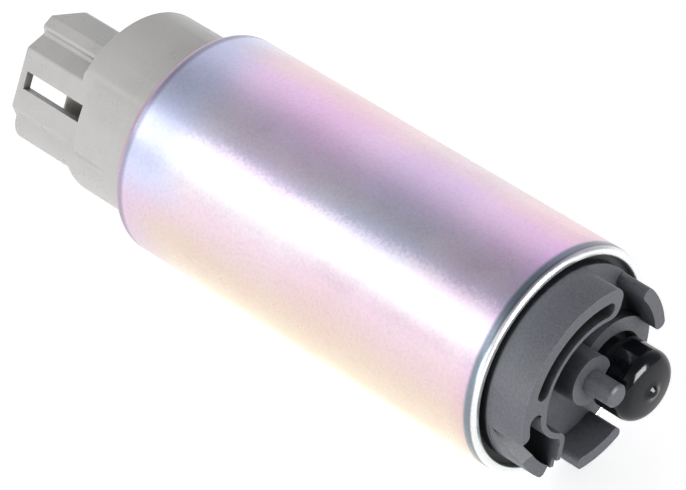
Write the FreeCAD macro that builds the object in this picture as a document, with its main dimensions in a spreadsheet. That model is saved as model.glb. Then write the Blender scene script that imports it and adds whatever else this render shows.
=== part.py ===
import FreeCAD, Part
import os
import re
import Sketcher

# In-tank electric fuel pump, lying on its side. X runs along the pump from the
# outlet end to the inlet end, Z is up, and the origin is the middle of the can.
# Millimetres and degrees. Angles are seen from the outlet end, from +Y towards +Z.

SIZES = (
    # the steel can and its two rolled ends
    ("can_radius", 19.0, "outside of the can"),
    ("can_length", 76.7, "over both rolled ends"),
    ("can_wall", 1.1, "sheet thickness"),
    ("lip_reach", 1.5, "how far a rolled end turns in from the can's outside"),
    ("roll_thickness", 1.4, "depth of a rolled end"),
    ("roll_round", 1.1, "outer rounding of a rolled end"),
    ("lip_round", 0.35, "rounding of the lip's inner edge"),
    # clearances
    ("slip_gap", 0.05, "round a piece that drops into the can"),
    ("press_gap", 0.02, "drawn between a pressed-in piece and its seat"),
    ("running_gap", 0.03, "round a shaft or a sliding piece"),
    ("touch_gap", 0.05, "between a moving face and the face that it meets"),
    ("overcut", 1.0, "how far a cut runs past an edge"),
    ("join_angle", 1.0, "overlap of walls that run into each other"),
    # inlet cover
    ("cover_thickness", 5.0, "flange of the inlet cover inside the can"),
    ("wall_inset", 1.1, "outer wall of the inlet cover inside the rolled end"),
    ("floor_rise", 0.5, "floor of the inlet cover past the can's end"),
    ("crescent_rise", 7.3, "top of the crescent past the can's end"),
    ("crescent_width", 5.2, "crescent, inwards from the outer wall"),
    ("crescent_start_angle", 71.0, "upper end of the crescent"),
    ("crescent_end_angle", 187.0, "lower end of the crescent"),
    ("slot_inset", 2.1, "slot in the crescent, inwards from the outer wall"),
    ("slot_width", 2.4, "slot in the crescent"),
    ("slot_start_angle", 82.0, "centre of the slot's upper end"),
    ("slot_end_angle", 156.0, "centre of the slot's lower end"),
    ("slot_depth", 4.5, "depth of the slot"),
    ("pocket_start_angle", 177.0, "centre of the round end of the pocket"),
    ("pocket_inset", 1.7, "pocket, inwards from the outer wall"),
    ("pocket_width", 2.6, "pocket at the crescent's lower end"),
    ("lug_rise", 6.0, "tops of the three lugs past the can's end"),
    ("lug_width", 2.2, "lug, inwards from the outer wall"),
    ("lug_round", 0.9, "rounding of the lugs' corners"),
    ("crescent_round", 2.0, "rounding of the crescent's upper end"),
    ("side_lug_end_angle", 231.0, "lower end of the side lug, which starts at the crescent"),
    ("ramp_length", 5.2, "ramp from the crescent up to the side lug's top"),
    ("ramp_foot", 0.5, "start of the ramp above the floor"),
    ("bottom_lug_start_angle", 261.5, "left end of the bottom lug"),
    ("bottom_lug_end_angle", 297.0, "right end of the bottom lug"),
    ("hook_lug_start_angle", 4.5, "lower end of the upper lug"),
    ("hook_lug_end_angle", 41.0, "upper end of the upper lug"),
    ("ribbon_inset", 5.7, "centre of the ribbon wall's bow from the crescent's inner wall"),
    ("ribbon_z", 0.9, "centre of the ribbon wall's bow above the axis"),
    ("ribbon_bow", 6.4, "radius of the bow, along the middle of the wall"),
    ("ribbon_wall", 0.9, "thickness of the ribbon wall"),
    ("ribbon_start_angle", 178.0, "where the bow leaves the crescent, round its centre"),
    ("ribbon_turn_angle", 243.8, "where the bow turns outwards, round its centre"),
    ("ribbon_bend", 1.65, "radius of the turn, along the middle of the wall"),
    ("fence_angle", 256.0, "direction of the straight end of the ribbon wall"),
    ("fence_length", 3.0, "straight end of the ribbon wall"),
    ("web_length", 1.7, "lower web between the ribbon wall and the side lug"),
    ("web_wall", 0.8, "thickness of the web"),
    ("web_rise", 6.4, "top of the web past the can's end"),
    ("pad_radius", 4.1, "pad round the strainer peg"),
    ("pad_rise", 6.0, "top of the pad past the can's end"),
    ("peg_radius", 1.9, "strainer peg"),
    ("peg_rise", 11.3, "tip of the peg past the can's end"),
    ("peg_chamfer", 0.35, "chamfer at the peg's tip"),
    # inlet nipple and the transport cap on it
    ("inlet_offset", 9.05, "inlet nipple from the pump's axis"),
    ("inlet_angle", -26.5, "direction of the inlet nipple"),
    ("inlet_radius", 4.3, "outside of the inlet nipple"),
    ("inlet_bore", 3.2, "radius of its bore"),
    ("inlet_rise", 9.8, "end of the nipple past the can's end"),
    ("nest_inner", 6.2, "inside of the ledge round the nipple"),
    ("nest_outer", 8.6, "outside of the ledge round the nipple"),
    ("nest_rise", 3.0, "top of the ledge past the can's end"),
    ("nest_start_angle", 20.0, "right end of the ledge, round the nipple"),
    ("nest_end_angle", 158.0, "left end of the ledge, round the nipple"),
    ("nest_rim_angle", -22.0, "lower end of the rim between the ledge and the upper lug"),
    ("cap_wall", 1.57, "wall of the transport cap"),
    ("cap_base_rise", 4.2, "open end of the cap past the can's end"),
    ("cap_tip_rise", 11.8, "tip of the cap past the can's end"),
    ("cap_round", 2.4, "rounding of the cap's shoulder"),
    ("cap_crown", 30.0, "radius of the cap's crowned nose"),
    ("cap_gap", 0.25, "between the cap and the pad beside it"),
    # impeller and pump casing
    ("impeller_thickness", 3.8, "impeller disc"),
    ("chamber_wall", 2.55, "wall of the casing round the impeller"),
    ("tip_gap", 0.1, "round the impeller"),
    ("passage_gap", 0.3, "round the shaft where it passes the casing"),
    ("vane_count", 30, "grooves on each side of the impeller"),
    ("vane_length", 2.6, "radial length of a groove"),
    ("vane_width", 1.7, "width of a groove"),
    ("vane_depth", 1.6, "depth of a groove"),
    ("channel_radius", 1.4, "half round section of the pumping channel"),
    ("channel_angle", 318.0, "length of the channel round the axis"),
    ("casing_depth", 7.5, "pump casing along the can"),
    ("hub_radius", 5.6, "bearing hub of the casing"),
    ("hub_length", 4.0, "bearing hub of the casing"),
    ("outflow_radius", 1.3, "hole from the channel to the motor"),
    ("outflow_angle", 6.0, "hole from the end of the channel"),
    # shaft and bearings
    ("shaft_radius", 1.6, "rotor shaft"),
    ("flat_offset", 1.1, "drive flat from the shaft's axis"),
    ("bush_radius", 3.2, "outside of a bearing bush"),
    ("bush_length", 6.0, "bearing bush"),
    ("rear_bush_reach", 1.5, "rear bush behind the brush holder's disc"),
    ("rear_bush_floor", 0.8, "wall behind the rear bush"),
    ("shaft_inset", 0.5, "rear end of the shaft inside its bush"),
    ("button_radius", 2.4, "thrust button under the shaft's end"),
    ("button_thickness", 1.3, "thrust button"),
    ("shaft_entry", 1.2, "reach of the shaft into the inlet cover"),
    # magnetic circuit
    ("ring_wall", 1.5, "flux ring inside the can"),
    ("magnet_thickness", 4.1, "magnet segment"),
    ("front_room", 6.45, "from the magnets to the pump casing"),
    ("rear_room", 19.95, "from the magnets to the outlet cover, for the brush gear"),
    ("magnet_angle", 124.0, "angle covered by a magnet segment"),
    ("clip_wall", 0.5, "sheet of a magnet clip"),
    ("clip_depth", 2.6, "legs of a magnet clip"),
    ("clip_gap_angle", 0.2, "angle between a magnet and a clip"),
    ("air_gap", 0.6, "between magnets and core"),
    # armature
    ("magnet_overhang", 4.0, "magnets past each end of the core"),
    ("core_slots", 8, "slots of the core"),
    ("slot_setback", 4.2, "centre of a core slot, inwards from the core's outside"),
    ("core_tooth", 1.06, "narrowest steel between two slots"),
    ("slot_mouth", 1.6, "opening of a core slot"),
    ("insulator_thickness", 0.8, "end insulator"),
    ("insulator_inset", 0.3, "edge of an end insulator inside the core's"),
    ("head_inset", 1.7, "end turns of the windings inside the core's outside"),
    ("head_length", 4.5, "end turns of the windings"),
    ("head_round", 1.6, "rounding of the end turns"),
    ("head_bore", 2.6, "end turns round the shaft"),
    ("hub_gap", 0.3, "between end turns and commutator hub"),
    ("commutator_hub_length", 5.6, "moulded hub of the commutator"),
    ("segment_thickness", 1.8, "commutator segments"),
    ("segment_inner", 3.6, "inner edge of the segments"),
    ("segment_slit", 0.5, "slit between segments"),
    ("segment_margin", 0.8, "segments past a brush, away from the axis"),
    # brush gear
    ("brush_setback", 0.9, "brush from the inner edge of the segments"),
    ("brush_height", 4.0, "brush, towards the axis"),
    ("brush_width", 5.5, "brush, across"),
    ("brush_length", 8.0, "brush"),
    ("box_wall", 0.9, "wall of a brush box"),
    ("box_front_gap", 1.4, "from the commutator to the brush boxes"),
    ("spring_room", 6.6, "space for a brush spring"),
    ("holder_thickness", 3.0, "disc of the brush holder"),
    ("spring_radius", 1.6, "outside of a brush spring"),
    ("spring_wire", 0.35, "wire of the springs"),
    ("vent_radius", 1.7, "flow holes in the brush holder"),
    ("vent_offset", 11.6, "flow holes from the axis"),
    ("vent_count", 4, "flow holes in the brush holder"),
    ("vent_angle", 45.0, "first flow hole"),
    # outlet cover
    ("outlet_thickness", 5.0, "flange of the outlet cover inside the can"),
    ("collar_inset", 1.5, "collar inside the rolled end"),
    ("collar_length", 15.1, "collar past the can's end"),
    ("collar_round", 0.4, "rounding of the collar's edge"),
    ("shell_wall", 2.0, "wall of the collar"),
    ("end_thickness", 3.2, "wall that closes the collar"),
    ("seal_radius", 0.88, "section of the sealing ring"),
    # electrical connector
    ("plug_angle", 157.5, "direction that the connector's latch side faces"),
    ("plug_length", 12.8, "connector past the collar"),
    ("plug_inset", 1.6, "latch side inside the collar's outside"),
    ("plug_back", 0.6, "far side from the axis"),
    ("plug_half", 10.4, "upper side from the connector's middle"),
    ("plug_low_half", 11.4, "lower side from the connector's middle"),
    ("plug_face_half", 5.1, "half of the latch side's flat"),
    ("groove_half", 7.5, "groove beside the latch side, from the middle"),
    ("groove_depth", 3.1, "depth of that groove"),
    ("ear_half", 8.6, "crest of the ear beside the groove"),
    ("ear_depth", 2.2, "crest of the ear below the latch side"),
    ("shoulder_depth", 3.6, "where the ear meets the upper side"),
    ("step_half", 6.9, "step on the lower side, from the middle"),
    ("step_depth", 1.6, "step below the latch side"),
    ("plug_round", 0.6, "rounding of the connector's long edges"),
    ("plug_back_round", 3.0, "rounding of the two edges on the far side"),
    ("heel_round", 4.2, "rounding of the edge between the step and the lower side"),
    ("plug_wall", 1.6, "walls of the socket"),
    ("socket_half", 8.8, "half of the socket's width"),
    ("socket_drop", 4.1, "wide part of the socket below the latch side"),
    ("socket_key_half", 5.2, "half of the narrower part under the latch side"),
    ("socket_depth", 13.4, "socket from its mouth"),
    ("latch_length", 14.2, "window for the latch"),
    ("latch_height", 3.0, "window for the latch"),
    ("latch_inset", 1.3, "window from the mouth"),
    ("blade_width", 2.8, "terminal blade"),
    ("blade_thickness", 0.8, "terminal blade"),
    ("blade_spacing", 6.4, "between the two blades"),
    ("blade_drop", 7.2, "blades below the latch side"),
    ("blade_inset", 5.0, "tips of the blades from the mouth"),
    ("blade_tail", 6.0, "blades behind the cover's end wall"),
    ("choke_radius", 1.2, "rod of a choke"),
    ("choke_length", 9.0, "rod of a choke"),
    ("coil_radius", 2.1, "coil of a choke"),
    ("coil_length", 7.0, "coil of a choke"),
    ("choke_offset", 9.2, "chokes from the axis"),
    # outlet nipple and check valve
    ("outlet_inset", 3.5, "outlet nipple inside the collar's outside"),
    ("outlet_radius", 4.0, "outlet nipple"),
    ("outlet_length", 12.1, "outlet nipple past the collar"),
    ("outlet_bore", 2.9, "radius of its bore"),
    ("bead_radius", 4.5, "bead that holds the hose"),
    ("bead_width", 2.4, "bead that holds the hose"),
    ("bead_inset", 1.0, "bead from the nipple's tip"),
    ("tip_chamfer", 0.3, "chamfer of the nipple's tip"),
    ("seat_inset", 0.5, "check valve's seat from the collar's end"),
    ("valve_seat", 1.7, "hole that the check valve closes"),
    ("poppet_radius", 2.4, "head of the check valve"),
    ("poppet_thickness", 1.2, "head of the check valve"),
    ("stem_radius", 0.9, "stem of the check valve"),
    ("stem_entry", 0.9, "reach of the stem into the cage"),
    ("stem_gap", 0.1, "round the stem in the cage"),
    ("valve_spring_radius", 1.7, "outside of the check valve's spring"),
    ("cage_thickness", 1.4, "cage that holds the spring"),
    ("cage_inset", 1.6, "cage from the nipple's tip"),
    ("cage_hole", 0.5, "radius of the flow holes in the cage"),
    ("cage_hole_offset", 2.1, "flow holes from the cage's middle"),
    ("cage_hole_count", 6, "flow holes in the cage"),
    # relief valve
    ("relief_inset", 2.5, "boss of the relief valve inside the collar's outside"),
    ("relief_angle", -95.0, "direction of the relief valve"),
    ("relief_radius", 3.0, "boss of the relief valve"),
    ("relief_length", 6.5, "boss of the relief valve"),
    ("relief_bore", 2.0, "bore of the relief valve"),
    ("relief_seat", 1.0, "hole that the ball closes"),
    ("ball_radius", 1.6, "ball of the relief valve"),
    ("relief_seat_inset", 1.0, "ball's seat from the collar's end"),
    ("retainer_thickness", 1.2, "ring that holds the relief spring"),
    ("retainer_hole", 0.7, "hole in the ring"),
)

# Places along the pump and sizes that follow from the sheet.
PLACES = {
    "can_end": "can_length / 2",
    "can_inside": "can_radius - can_wall",
    "drop_in": "can_inside - slip_gap",
    "lip_radius": "can_radius - lip_reach",
    "cover_seat": "can_end - roll_thickness",
    "cover_back": "cover_seat - cover_thickness",
    "cover_floor": "can_end + floor_rise",
    "inlet_y": "inlet_offset * cos(inlet_angle)",
    "inlet_z": "inlet_offset * sin(inlet_angle)",
    "wall_radius": "lip_radius - wall_inset",
    "crescent_inner": "wall_radius - crescent_width",
    "slot_outer": "wall_radius - slot_inset",
    "slot_inner": "slot_outer - slot_width",
    "pocket_outer": "wall_radius - pocket_inset",
    "pocket_inner": "pocket_outer - pocket_width",
    "lug_outer": "wall_radius - touch_gap * 2",
    "lug_inner": "wall_radius - lug_width",
    "ribbon_y": "ribbon_inset - crescent_inner",
    "bend_y": "ribbon_y + (ribbon_bow + ribbon_bend) * cos(ribbon_turn_angle)",
    "bend_z": "ribbon_z + (ribbon_bow + ribbon_bend) * sin(ribbon_turn_angle)",
    "cap_outside": "inlet_radius + running_gap + cap_wall",
    "cap_tip": "can_end + cap_tip_rise",
    "crown_reach": "sqrt((cap_crown - cap_round) ^ 2 - (cap_outside - cap_round) ^ 2)",
    "impeller_radius": "drop_in - chamber_wall - tip_gap",
    "cavity_floor": "cover_back - impeller_thickness - 2 * touch_gap",
    "channel_middle": "impeller_radius - vane_length / 2",
    "casing_back": "cover_back - casing_depth",
    "hub_end": "casing_back - hub_length",
    "bush_seat": "hub_end + bush_length",
    "shaft_front": "cover_back + shaft_entry",
    "button_back": "shaft_front + touch_gap",
    "ring_inside": "drop_in - ring_wall",
    "ring_fit": "ring_inside - slip_gap",
    "magnet_inside": "ring_fit - magnet_thickness",
    "core_radius": "magnet_inside - air_gap",
    "magnet_front": "casing_back - front_room",
    "magnet_rear": "outlet_front + rear_room",
    "magnet_length": "magnet_front - magnet_rear",
    "slot_centre": "core_radius - slot_setback",
    "slot_radius": "slot_centre * sin(180 / core_slots) - core_tooth / 2",
    "head_radius": "core_radius - head_inset",
    "core_front": "magnet_front - magnet_overhang",
    "core_rear": "magnet_rear + magnet_overhang",
    "core_length": "core_front - core_rear",
    "head_front": "core_front + insulator_thickness",
    "head_rear": "core_rear - insulator_thickness",
    "hub_front": "head_rear - head_length - hub_gap",
    "hub_rear": "hub_front - commutator_hub_length",
    "commutator_face": "hub_rear - segment_thickness",
    "brush_offset": "segment_inner + brush_setback + brush_height / 2",
    "commutator_radius": "brush_offset + brush_height / 2 + segment_margin",
    "brush_face": "commutator_face - touch_gap",
    "box_front": "commutator_face - box_front_gap",
    "box_back": "brush_face - brush_length - spring_room - box_wall",
    "outlet_seat": "roll_thickness - can_end",
    "outlet_front": "outlet_seat + outlet_thickness",
    "collar_radius": "lip_radius - collar_inset",
    "collar_end": "-(can_end + collar_length)",
    "end_wall": "collar_end + end_thickness",
    "shell_inside": "collar_radius - shell_wall",
    "rear_bush_back": "outlet_front - rear_bush_reach",
    "plug_face": "collar_radius - plug_inset",
    "socket_level": "plug_face - socket_drop",
    "blade_level": "plug_face - blade_drop",
    "plug_mouth": "collar_end - plug_length",
    "socket_floor": "plug_mouth + socket_depth",
    "latch_end": "plug_mouth + latch_inset + latch_length",
    "outlet_angle": "plug_angle + 180",
    "outlet_offset": "collar_radius - outlet_inset - outlet_radius",
    "outlet_y": "outlet_offset * cos(outlet_angle)",
    "outlet_z": "outlet_offset * sin(outlet_angle)",
    "outlet_tip": "collar_end - outlet_length",
    "seat_face": "collar_end + seat_inset",
    "cage_front": "outlet_tip + cage_inset + cage_thickness",
    "relief_offset": "collar_radius - relief_inset - relief_radius",
    "relief_y": "relief_offset * cos(relief_angle)",
    "relief_z": "relief_offset * sin(relief_angle)",
    "relief_tip": "collar_end - relief_length",
    "relief_face": "collar_end + relief_seat_inset",
    "ball_middle": "relief_face - touch_gap - sqrt(ball_radius ^ 2 - relief_seat ^ 2)",
}

ALIASES = {alias for alias, value, note in SIZES}

doc = FreeCAD.newDocument("fuel_pump")
sheet = doc.addObject("Spreadsheet::Sheet", "Sizes")
for row, (alias, value, note) in enumerate(SIZES, start=1):
    sheet.set(f"A{row}", note)
    sheet.set(f"B{row}", str(value))
    sheet.setAlias(f"B{row}", alias)
doc.recompute()


def formula(text):
    """Write a formula of size and place names as an expression on the sheet."""
    def word(match):
        name = match.group(0)
        if name in PLACES:
            return f"({formula(PLACES[name])})"
        return f"Sizes.{name}" if name in ALIASES else name
    return re.sub(r"[a-z][a-z_]*", word, str(text))


def number(text):
    """The present value of a formula."""
    return float(sheet.evalExpression(formula(text)))


def bind(item, prop, text):
    """Tie a property of an object to the sheet."""
    item.setExpression(prop, formula(text))


def new_body(label):
    """An empty body, named as its node."""
    body = doc.addObject("PartDesign::Body", label)
    body.Label = label
    body.AllowCompound = True
    return body


def sketch_in(body, role, name, base=(0, 0, 0), turn=0, spin="Z"):
    """A sketch on an origin plane of the body, shifted by base and turned about its own axis spin."""
    sketch = body.newObject("Sketcher::SketchObject", name)
    plane = next(item for item in body.Origin.OriginFeatures if item.Role == role)
    sketch.AttachmentSupport = [(plane, "")]
    sketch.MapMode = "FlatFace"
    axis = FreeCAD.Vector(0, 0, 1) if spin == "Z" else FreeCAD.Vector(1, 0, 0)
    sketch.AttachmentOffset = FreeCAD.Placement(FreeCAD.Vector(), FreeCAD.Rotation(axis, 90))
    for letter, text in zip("xyz", base):
        bind(sketch, f"AttachmentOffset.Base.{letter}", text)
    bind(sketch, "AttachmentOffset.Rotation.Angle", turn)
    return sketch


def across(body, name, at, y=0, z=0, turn=0):
    """A sketch square to the pump's axis: its x is +Y and its y is +Z before it is turned."""
    return sketch_in(body, "YZ_Plane", name, (y, z, at), turn)


def along(body, name, y=0, z=0, lean=0):
    """A sketch in a plane through an axis along X: its x is +X and its y points outwards."""
    return sketch_in(body, "XZ_Plane", name, (0, z, f"-({y})"), lean, "X")


def constrain(sketch, kind, text, *where):
    """A dimension of the sketch, tied to the sheet."""
    index = sketch.addConstraint(Sketcher.Constraint(kind, *where, number(text)))
    sketch.setExpression(f"Constraints[{index}]", formula(text))


def pin_point(sketch, geometry, end, x, y):
    """Hold one end of a line or arc at (x, y) from the sketch's origin."""
    constrain(sketch, "DistanceX", x, -1, 1, geometry, end)
    constrain(sketch, "DistanceY", y, -1, 1, geometry, end)


def outline(sketch, points):
    """A closed outline through points. A third value is the radius of an arc from there to the next
    point: it bulges to the right of the way round, or to the left where the value starts with a minus."""
    spots = [FreeCAD.Vector(number(point[0]), number(point[1]), 0) for point in points]
    first = sketch.GeometryCount
    ends = []
    for i, point in enumerate(points):
        near, far = spots[i], spots[(i + 1) % len(points)]
        ends.append((1, 2))
        if len(point) == 2:
            sketch.addGeometry(Part.LineSegment(near, far), False)
            continue
        radius = number(point[2])
        chord = far - near
        bulge = abs(radius) - max(radius ** 2 - (chord.Length / 2) ** 2, 0) ** 0.5
        side = FreeCAD.Vector(chord.y, -chord.x, 0).normalize() * (bulge if radius > 0 else -bulge)
        sketch.addGeometry(Part.Arc(near, near + chord / 2 + side, far), False)
        constrain(sketch, "Radius", point[2].lstrip("-"), first + i)
        if radius < 0:
            ends[i] = (2, 1)
    for i, point in enumerate(points):
        after = (i + 1) % len(points)
        meeting = (first + i, ends[i][1], first + after, ends[after][0])
        sketch.addConstraint(Sketcher.Constraint("Coincident", *meeting))
        pin_point(sketch, first + i, ends[i][0], point[0], point[1])


def rectangle(sketch, left, bottom, right, top):
    """A rectangle between two corners."""
    outline(sketch, [(left, bottom), (right, bottom), (right, top), (left, top)])


def circle(sketch, radius, x=0, y=0):
    """A circle about (x, y)."""
    centre = FreeCAD.Vector(number(x), number(y), 0)
    index = sketch.addGeometry(Part.Circle(centre, FreeCAD.Vector(0, 0, 1), number(radius)), False)
    constrain(sketch, "Radius", radius, index)
    pin_point(sketch, index, 3, x, y)


def sector(sketch, inner, outer, start, end):
    """A piece of a ring about the sketch's origin, between two angles."""
    def corner(radius, angle):
        return f"({radius}) * cos({angle})", f"({radius}) * sin({angle})"
    upright = FreeCAD.Vector(0, 0, 1)
    sides = []
    for angle in (start, end):
        near, far = corner(inner, angle), corner(outer, angle)
        ends = [FreeCAD.Vector(number(x), number(y), 0) for x, y in (near, far)]
        sides.append(sketch.addGeometry(Part.LineSegment(*ends), False))
    span = [FreeCAD.Units.parseQuantity(f"{number(angle)} deg").getValueAs("rad").Value
            for angle in (start, end)]
    arcs = []
    for radius in (inner, outer):
        ring = Part.Circle(FreeCAD.Vector(), upright, number(radius))
        arcs.append(sketch.addGeometry(Part.ArcOfCircle(ring, *span), False))
    for end_of_side, arc in enumerate(arcs, start=1):
        sketch.addConstraint(Sketcher.Constraint("Coincident", arc, 3, -1, 1))
        sketch.addConstraint(Sketcher.Constraint("Coincident", arc, 1, sides[0], end_of_side))
        sketch.addConstraint(Sketcher.Constraint("Coincident", arc, 2, sides[1], end_of_side))
    for end_of_side, radius in enumerate((inner, outer), start=1):
        pin_point(sketch, sides[0], end_of_side, *corner(radius, start))
        x, y = corner(radius, end)
        if abs(number(x)) < abs(number(y)):
            constrain(sketch, "DistanceX", x, -1, 1, sides[1], end_of_side)
        else:
            constrain(sketch, "DistanceY", y, -1, 1, sides[1], end_of_side)


def finish_feature(body, feature, removes):
    """Rebuild, and stop if a feature that should add or cut did neither."""
    before = body.Shape.Volume if body.Tip and not body.Shape.isNull() else 0.0
    doc.recompute()
    if not feature.Shape.isValid():
        raise RuntimeError(f"{feature.Label} isn't a valid solid")
    change = feature.Shape.Volume - before
    if (change >= 0) if removes else (change <= 0):
        raise RuntimeError(f"{feature.Label} changes nothing: {change:.4f}")
    return feature


def pad(body, name, sketch, length):
    """Material from the sketch towards +X."""
    feature = body.newObject("PartDesign::Pad", name)
    feature.Profile = sketch
    bind(feature, "Length", length)
    return finish_feature(body, feature, False)


def pocket(body, name, sketch, length):
    """A cut from the sketch towards +X."""
    feature = body.newObject("PartDesign::Pocket", name)
    feature.Profile = sketch
    feature.Reversed = True
    bind(feature, "Length", length)
    return finish_feature(body, feature, True)


def turned(body, name, sketch, kind="Revolution", sweep=360):
    """The sketch spun about its own x axis, as material or as a cut."""
    feature = body.newObject(f"PartDesign::{kind}", name)
    feature.Profile = sketch
    feature.ReferenceAxis = (sketch, ["H_Axis"])
    bind(feature, "Angle", sweep)
    return finish_feature(body, feature, kind == "Groove")


def round_off(body, name, radius, choose, kind="Fillet"):
    """Fillet or chamfer the edges that choose accepts."""
    base = body.Tip
    edges = [f"Edge{i}" for i, edge in enumerate(base.Shape.Edges, start=1) if choose(edge)]
    feature = body.newObject(f"PartDesign::{kind}", name)
    feature.Base = (base, edges)
    bind(feature, "Radius" if kind == "Fillet" else "Size", radius)
    doc.recompute()
    if not feature.Shape.isValid():
        raise RuntimeError(f"{feature.Label} isn't a valid solid")
    return feature


def repeat(body, name, originals, copies):
    """Copies of features round the pump's axis."""
    pattern = body.newObject("PartDesign::PolarPattern", name)
    pattern.Originals = originals
    axis = next(item for item in body.Origin.OriginFeatures if item.Role == "X_Axis")
    pattern.Axis = (axis, [""])
    pattern.Angle = 360
    bind(pattern, "Occurrences", copies)
    body.Tip = pattern
    doc.recompute()
    return pattern


def is_ring(edge, radius, at, y=0, z=0):
    """Whether an edge is a full circle or arc of this radius, square to X at this place."""
    if not isinstance(edge.Curve, Part.Circle):
        return False
    centre = edge.Curve.Center
    wanted = FreeCAD.Vector(number(at), number(y), number(z))
    return abs(edge.Curve.Radius - number(radius)) < 1e-4 and centre.distanceToPoint(wanted) < 1e-4


def turned_piece(label, points, y=0, z=0):
    """A body turned from one closed half section about an axis along X."""
    body = new_body(label)
    section = along(body, f"{label}_section", y, z)
    outline(section, points)
    turned(body, f"{label}_turned", section)
    return body


def tube_points(rear, front, inner, outer):
    """The half section of a plain tube or disc."""
    return [(rear, inner), (front, inner), (front, outer), (rear, outer)]


def make_can():
    """Drawn steel can, rolled over both covers."""
    body = turned_piece("housing_can", [
        ("-can_end", "lip_radius"),
        ("-can_end", "can_radius"),
        ("can_end", "can_radius"),
        ("can_end", "lip_radius"),
        ("cover_seat", "lip_radius"),
        ("cover_seat", "can_inside"),
        ("outlet_seat", "can_inside"),
        ("outlet_seat", "lip_radius"),
    ])
    ends = ("-can_end", "can_end")
    round_off(body, "rolled_shoulders", "roll_round",
              lambda edge: any(is_ring(edge, "can_radius", end) for end in ends))
    round_off(body, "rolled_lips", "lip_round",
              lambda edge: any(is_ring(edge, "lip_radius", end) for end in ends))


def make_inlet_cover():
    """Moulded inlet cover: crescent, lugs, peg and nipple outside, pumping channel inside."""
    body = turned_piece("inlet_cover", [
        ("cover_back", 0),
        ("cover_back", "drop_in"),
        ("cover_seat", "drop_in"),
        ("cover_seat", "wall_radius"),
        ("cover_floor", "wall_radius"),
        ("cover_floor", 0),
    ])

    def rise(name, height, draw, y=0, z=0, turn=0):
        sketch = across(body, f"{name}_outline", "cover_floor", y, z, turn)
        draw(sketch)
        return pad(body, name, sketch, f"{height} - floor_rise")

    def soften(name, radius, corners):
        places = [ring_place(*corner) for corner in corners]
        round_off(body, name, radius, lambda edge: runs_along(edge, places))

    rise("crescent", "crescent_rise",
         lambda s: sector(s, "crescent_inner", "wall_radius", "crescent_start_angle", "crescent_end_angle"))
    soften("crescent_corners", "crescent_round", [("crescent_inner", "crescent_start_angle"),
                                                  ("wall_radius", "crescent_start_angle")])
    slot_bottom = "can_end + crescent_rise - slot_depth"
    cut_slot(body, "slot", slot_bottom, "slot_depth", "slot_inner", "slot_outer",
             {"start": "slot_start_angle", "end": "slot_end_angle"})
    cut_slot(body, "notch", "cover_floor", "crescent_rise - floor_rise", "pocket_inner", "pocket_outer",
             {"start": "pocket_start_angle", "open end": "crescent_end_angle + join_angle"})
    soften("pocket_corner", "lug_round", [("pocket_outer", "crescent_end_angle")])

    corners = [("lug_outer", "side_lug_end_angle")]
    for name, start, end in (("side_lug", "crescent_end_angle", "side_lug_end_angle"),
                             ("bottom_lug", "bottom_lug_start_angle", "bottom_lug_end_angle"),
                             ("hook_lug", "hook_lug_start_angle", "hook_lug_end_angle")):
        rise(name, "lug_rise", lambda s: sector(s, "lug_inner", "lug_outer", start, end))
        if name != "side_lug":
            corners += [(radius, angle) for radius in ("lug_inner", "lug_outer") for angle in (start, end)]
    soften("lug_corners", "lug_round", corners)
    cut_ramp(body)
    make_ribbon(rise)
    ledge = ("nest_inner", "nest_outer", "nest_start_angle", "nest_end_angle")
    rise("nest_ledge", "nest_rise", lambda s: sector(s, *ledge), "inlet_y", "inlet_z")
    rim = ("lug_inner", "lug_outer", "nest_rim_angle", "hook_lug_start_angle + join_angle")
    rise("nest_rim", "nest_rise", lambda s: sector(s, *rim))
    rise("pad", "pad_rise", lambda s: circle(s, "pad_radius"))
    room = across(body, "cap_room_outline", "can_end + cap_base_rise - touch_gap", "inlet_y", "inlet_z")
    circle(room, "cap_outside + cap_gap")
    pocket(body, "cap_room", room, "pad_rise - cap_base_rise + overcut")
    rise("peg", "peg_rise", lambda s: circle(s, "peg_radius"))
    rise("nipple", "inlet_rise", lambda s: circle(s, "inlet_radius", "inlet_y", "inlet_z"))

    bore = across(body, "inlet_bore_outline", "cover_back")
    circle(bore, "inlet_bore", "inlet_y", "inlet_z")
    pocket(body, "inlet_passage", bore, "can_end + inlet_rise - cover_back")
    recess = across(body, "button_recess_outline", "cover_back")
    circle(recess, "button_radius + press_gap")
    pocket(body, "button_recess", recess, "shaft_entry + touch_gap + button_thickness")
    ramp = across(body, "inlet_ramp_outline", "cover_back", turn="inlet_angle")
    rectangle(ramp, "inlet_offset", "-channel_radius", "channel_middle", "channel_radius")
    pocket(body, "inlet_ramp", ramp, "channel_radius")
    make_channel(body, "cover_back", 1)
    round_off(body, "peg_tip", "peg_chamfer",
              lambda edge: is_ring(edge, "peg_radius", "can_end + peg_rise"), "Chamfer")


def ring_place(radius, angle):
    """A place at this distance and angle from the pump's axis."""
    return FreeCAD.Vector(0, number(f"({radius}) * cos({angle})"), number(f"({radius}) * sin({angle})"))


def runs_along(edge, places):
    """Whether a straight edge along X passes through one of these places, seen along X."""
    if not isinstance(edge.Curve, Part.Line) or abs(edge.Curve.Direction.x) < 1 - 1e-6:
        return False
    point = edge.Vertexes[0].Point
    return any(abs(point.y - place.y) < 1e-4 and abs(point.z - place.z) < 1e-4 for place in places)


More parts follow.
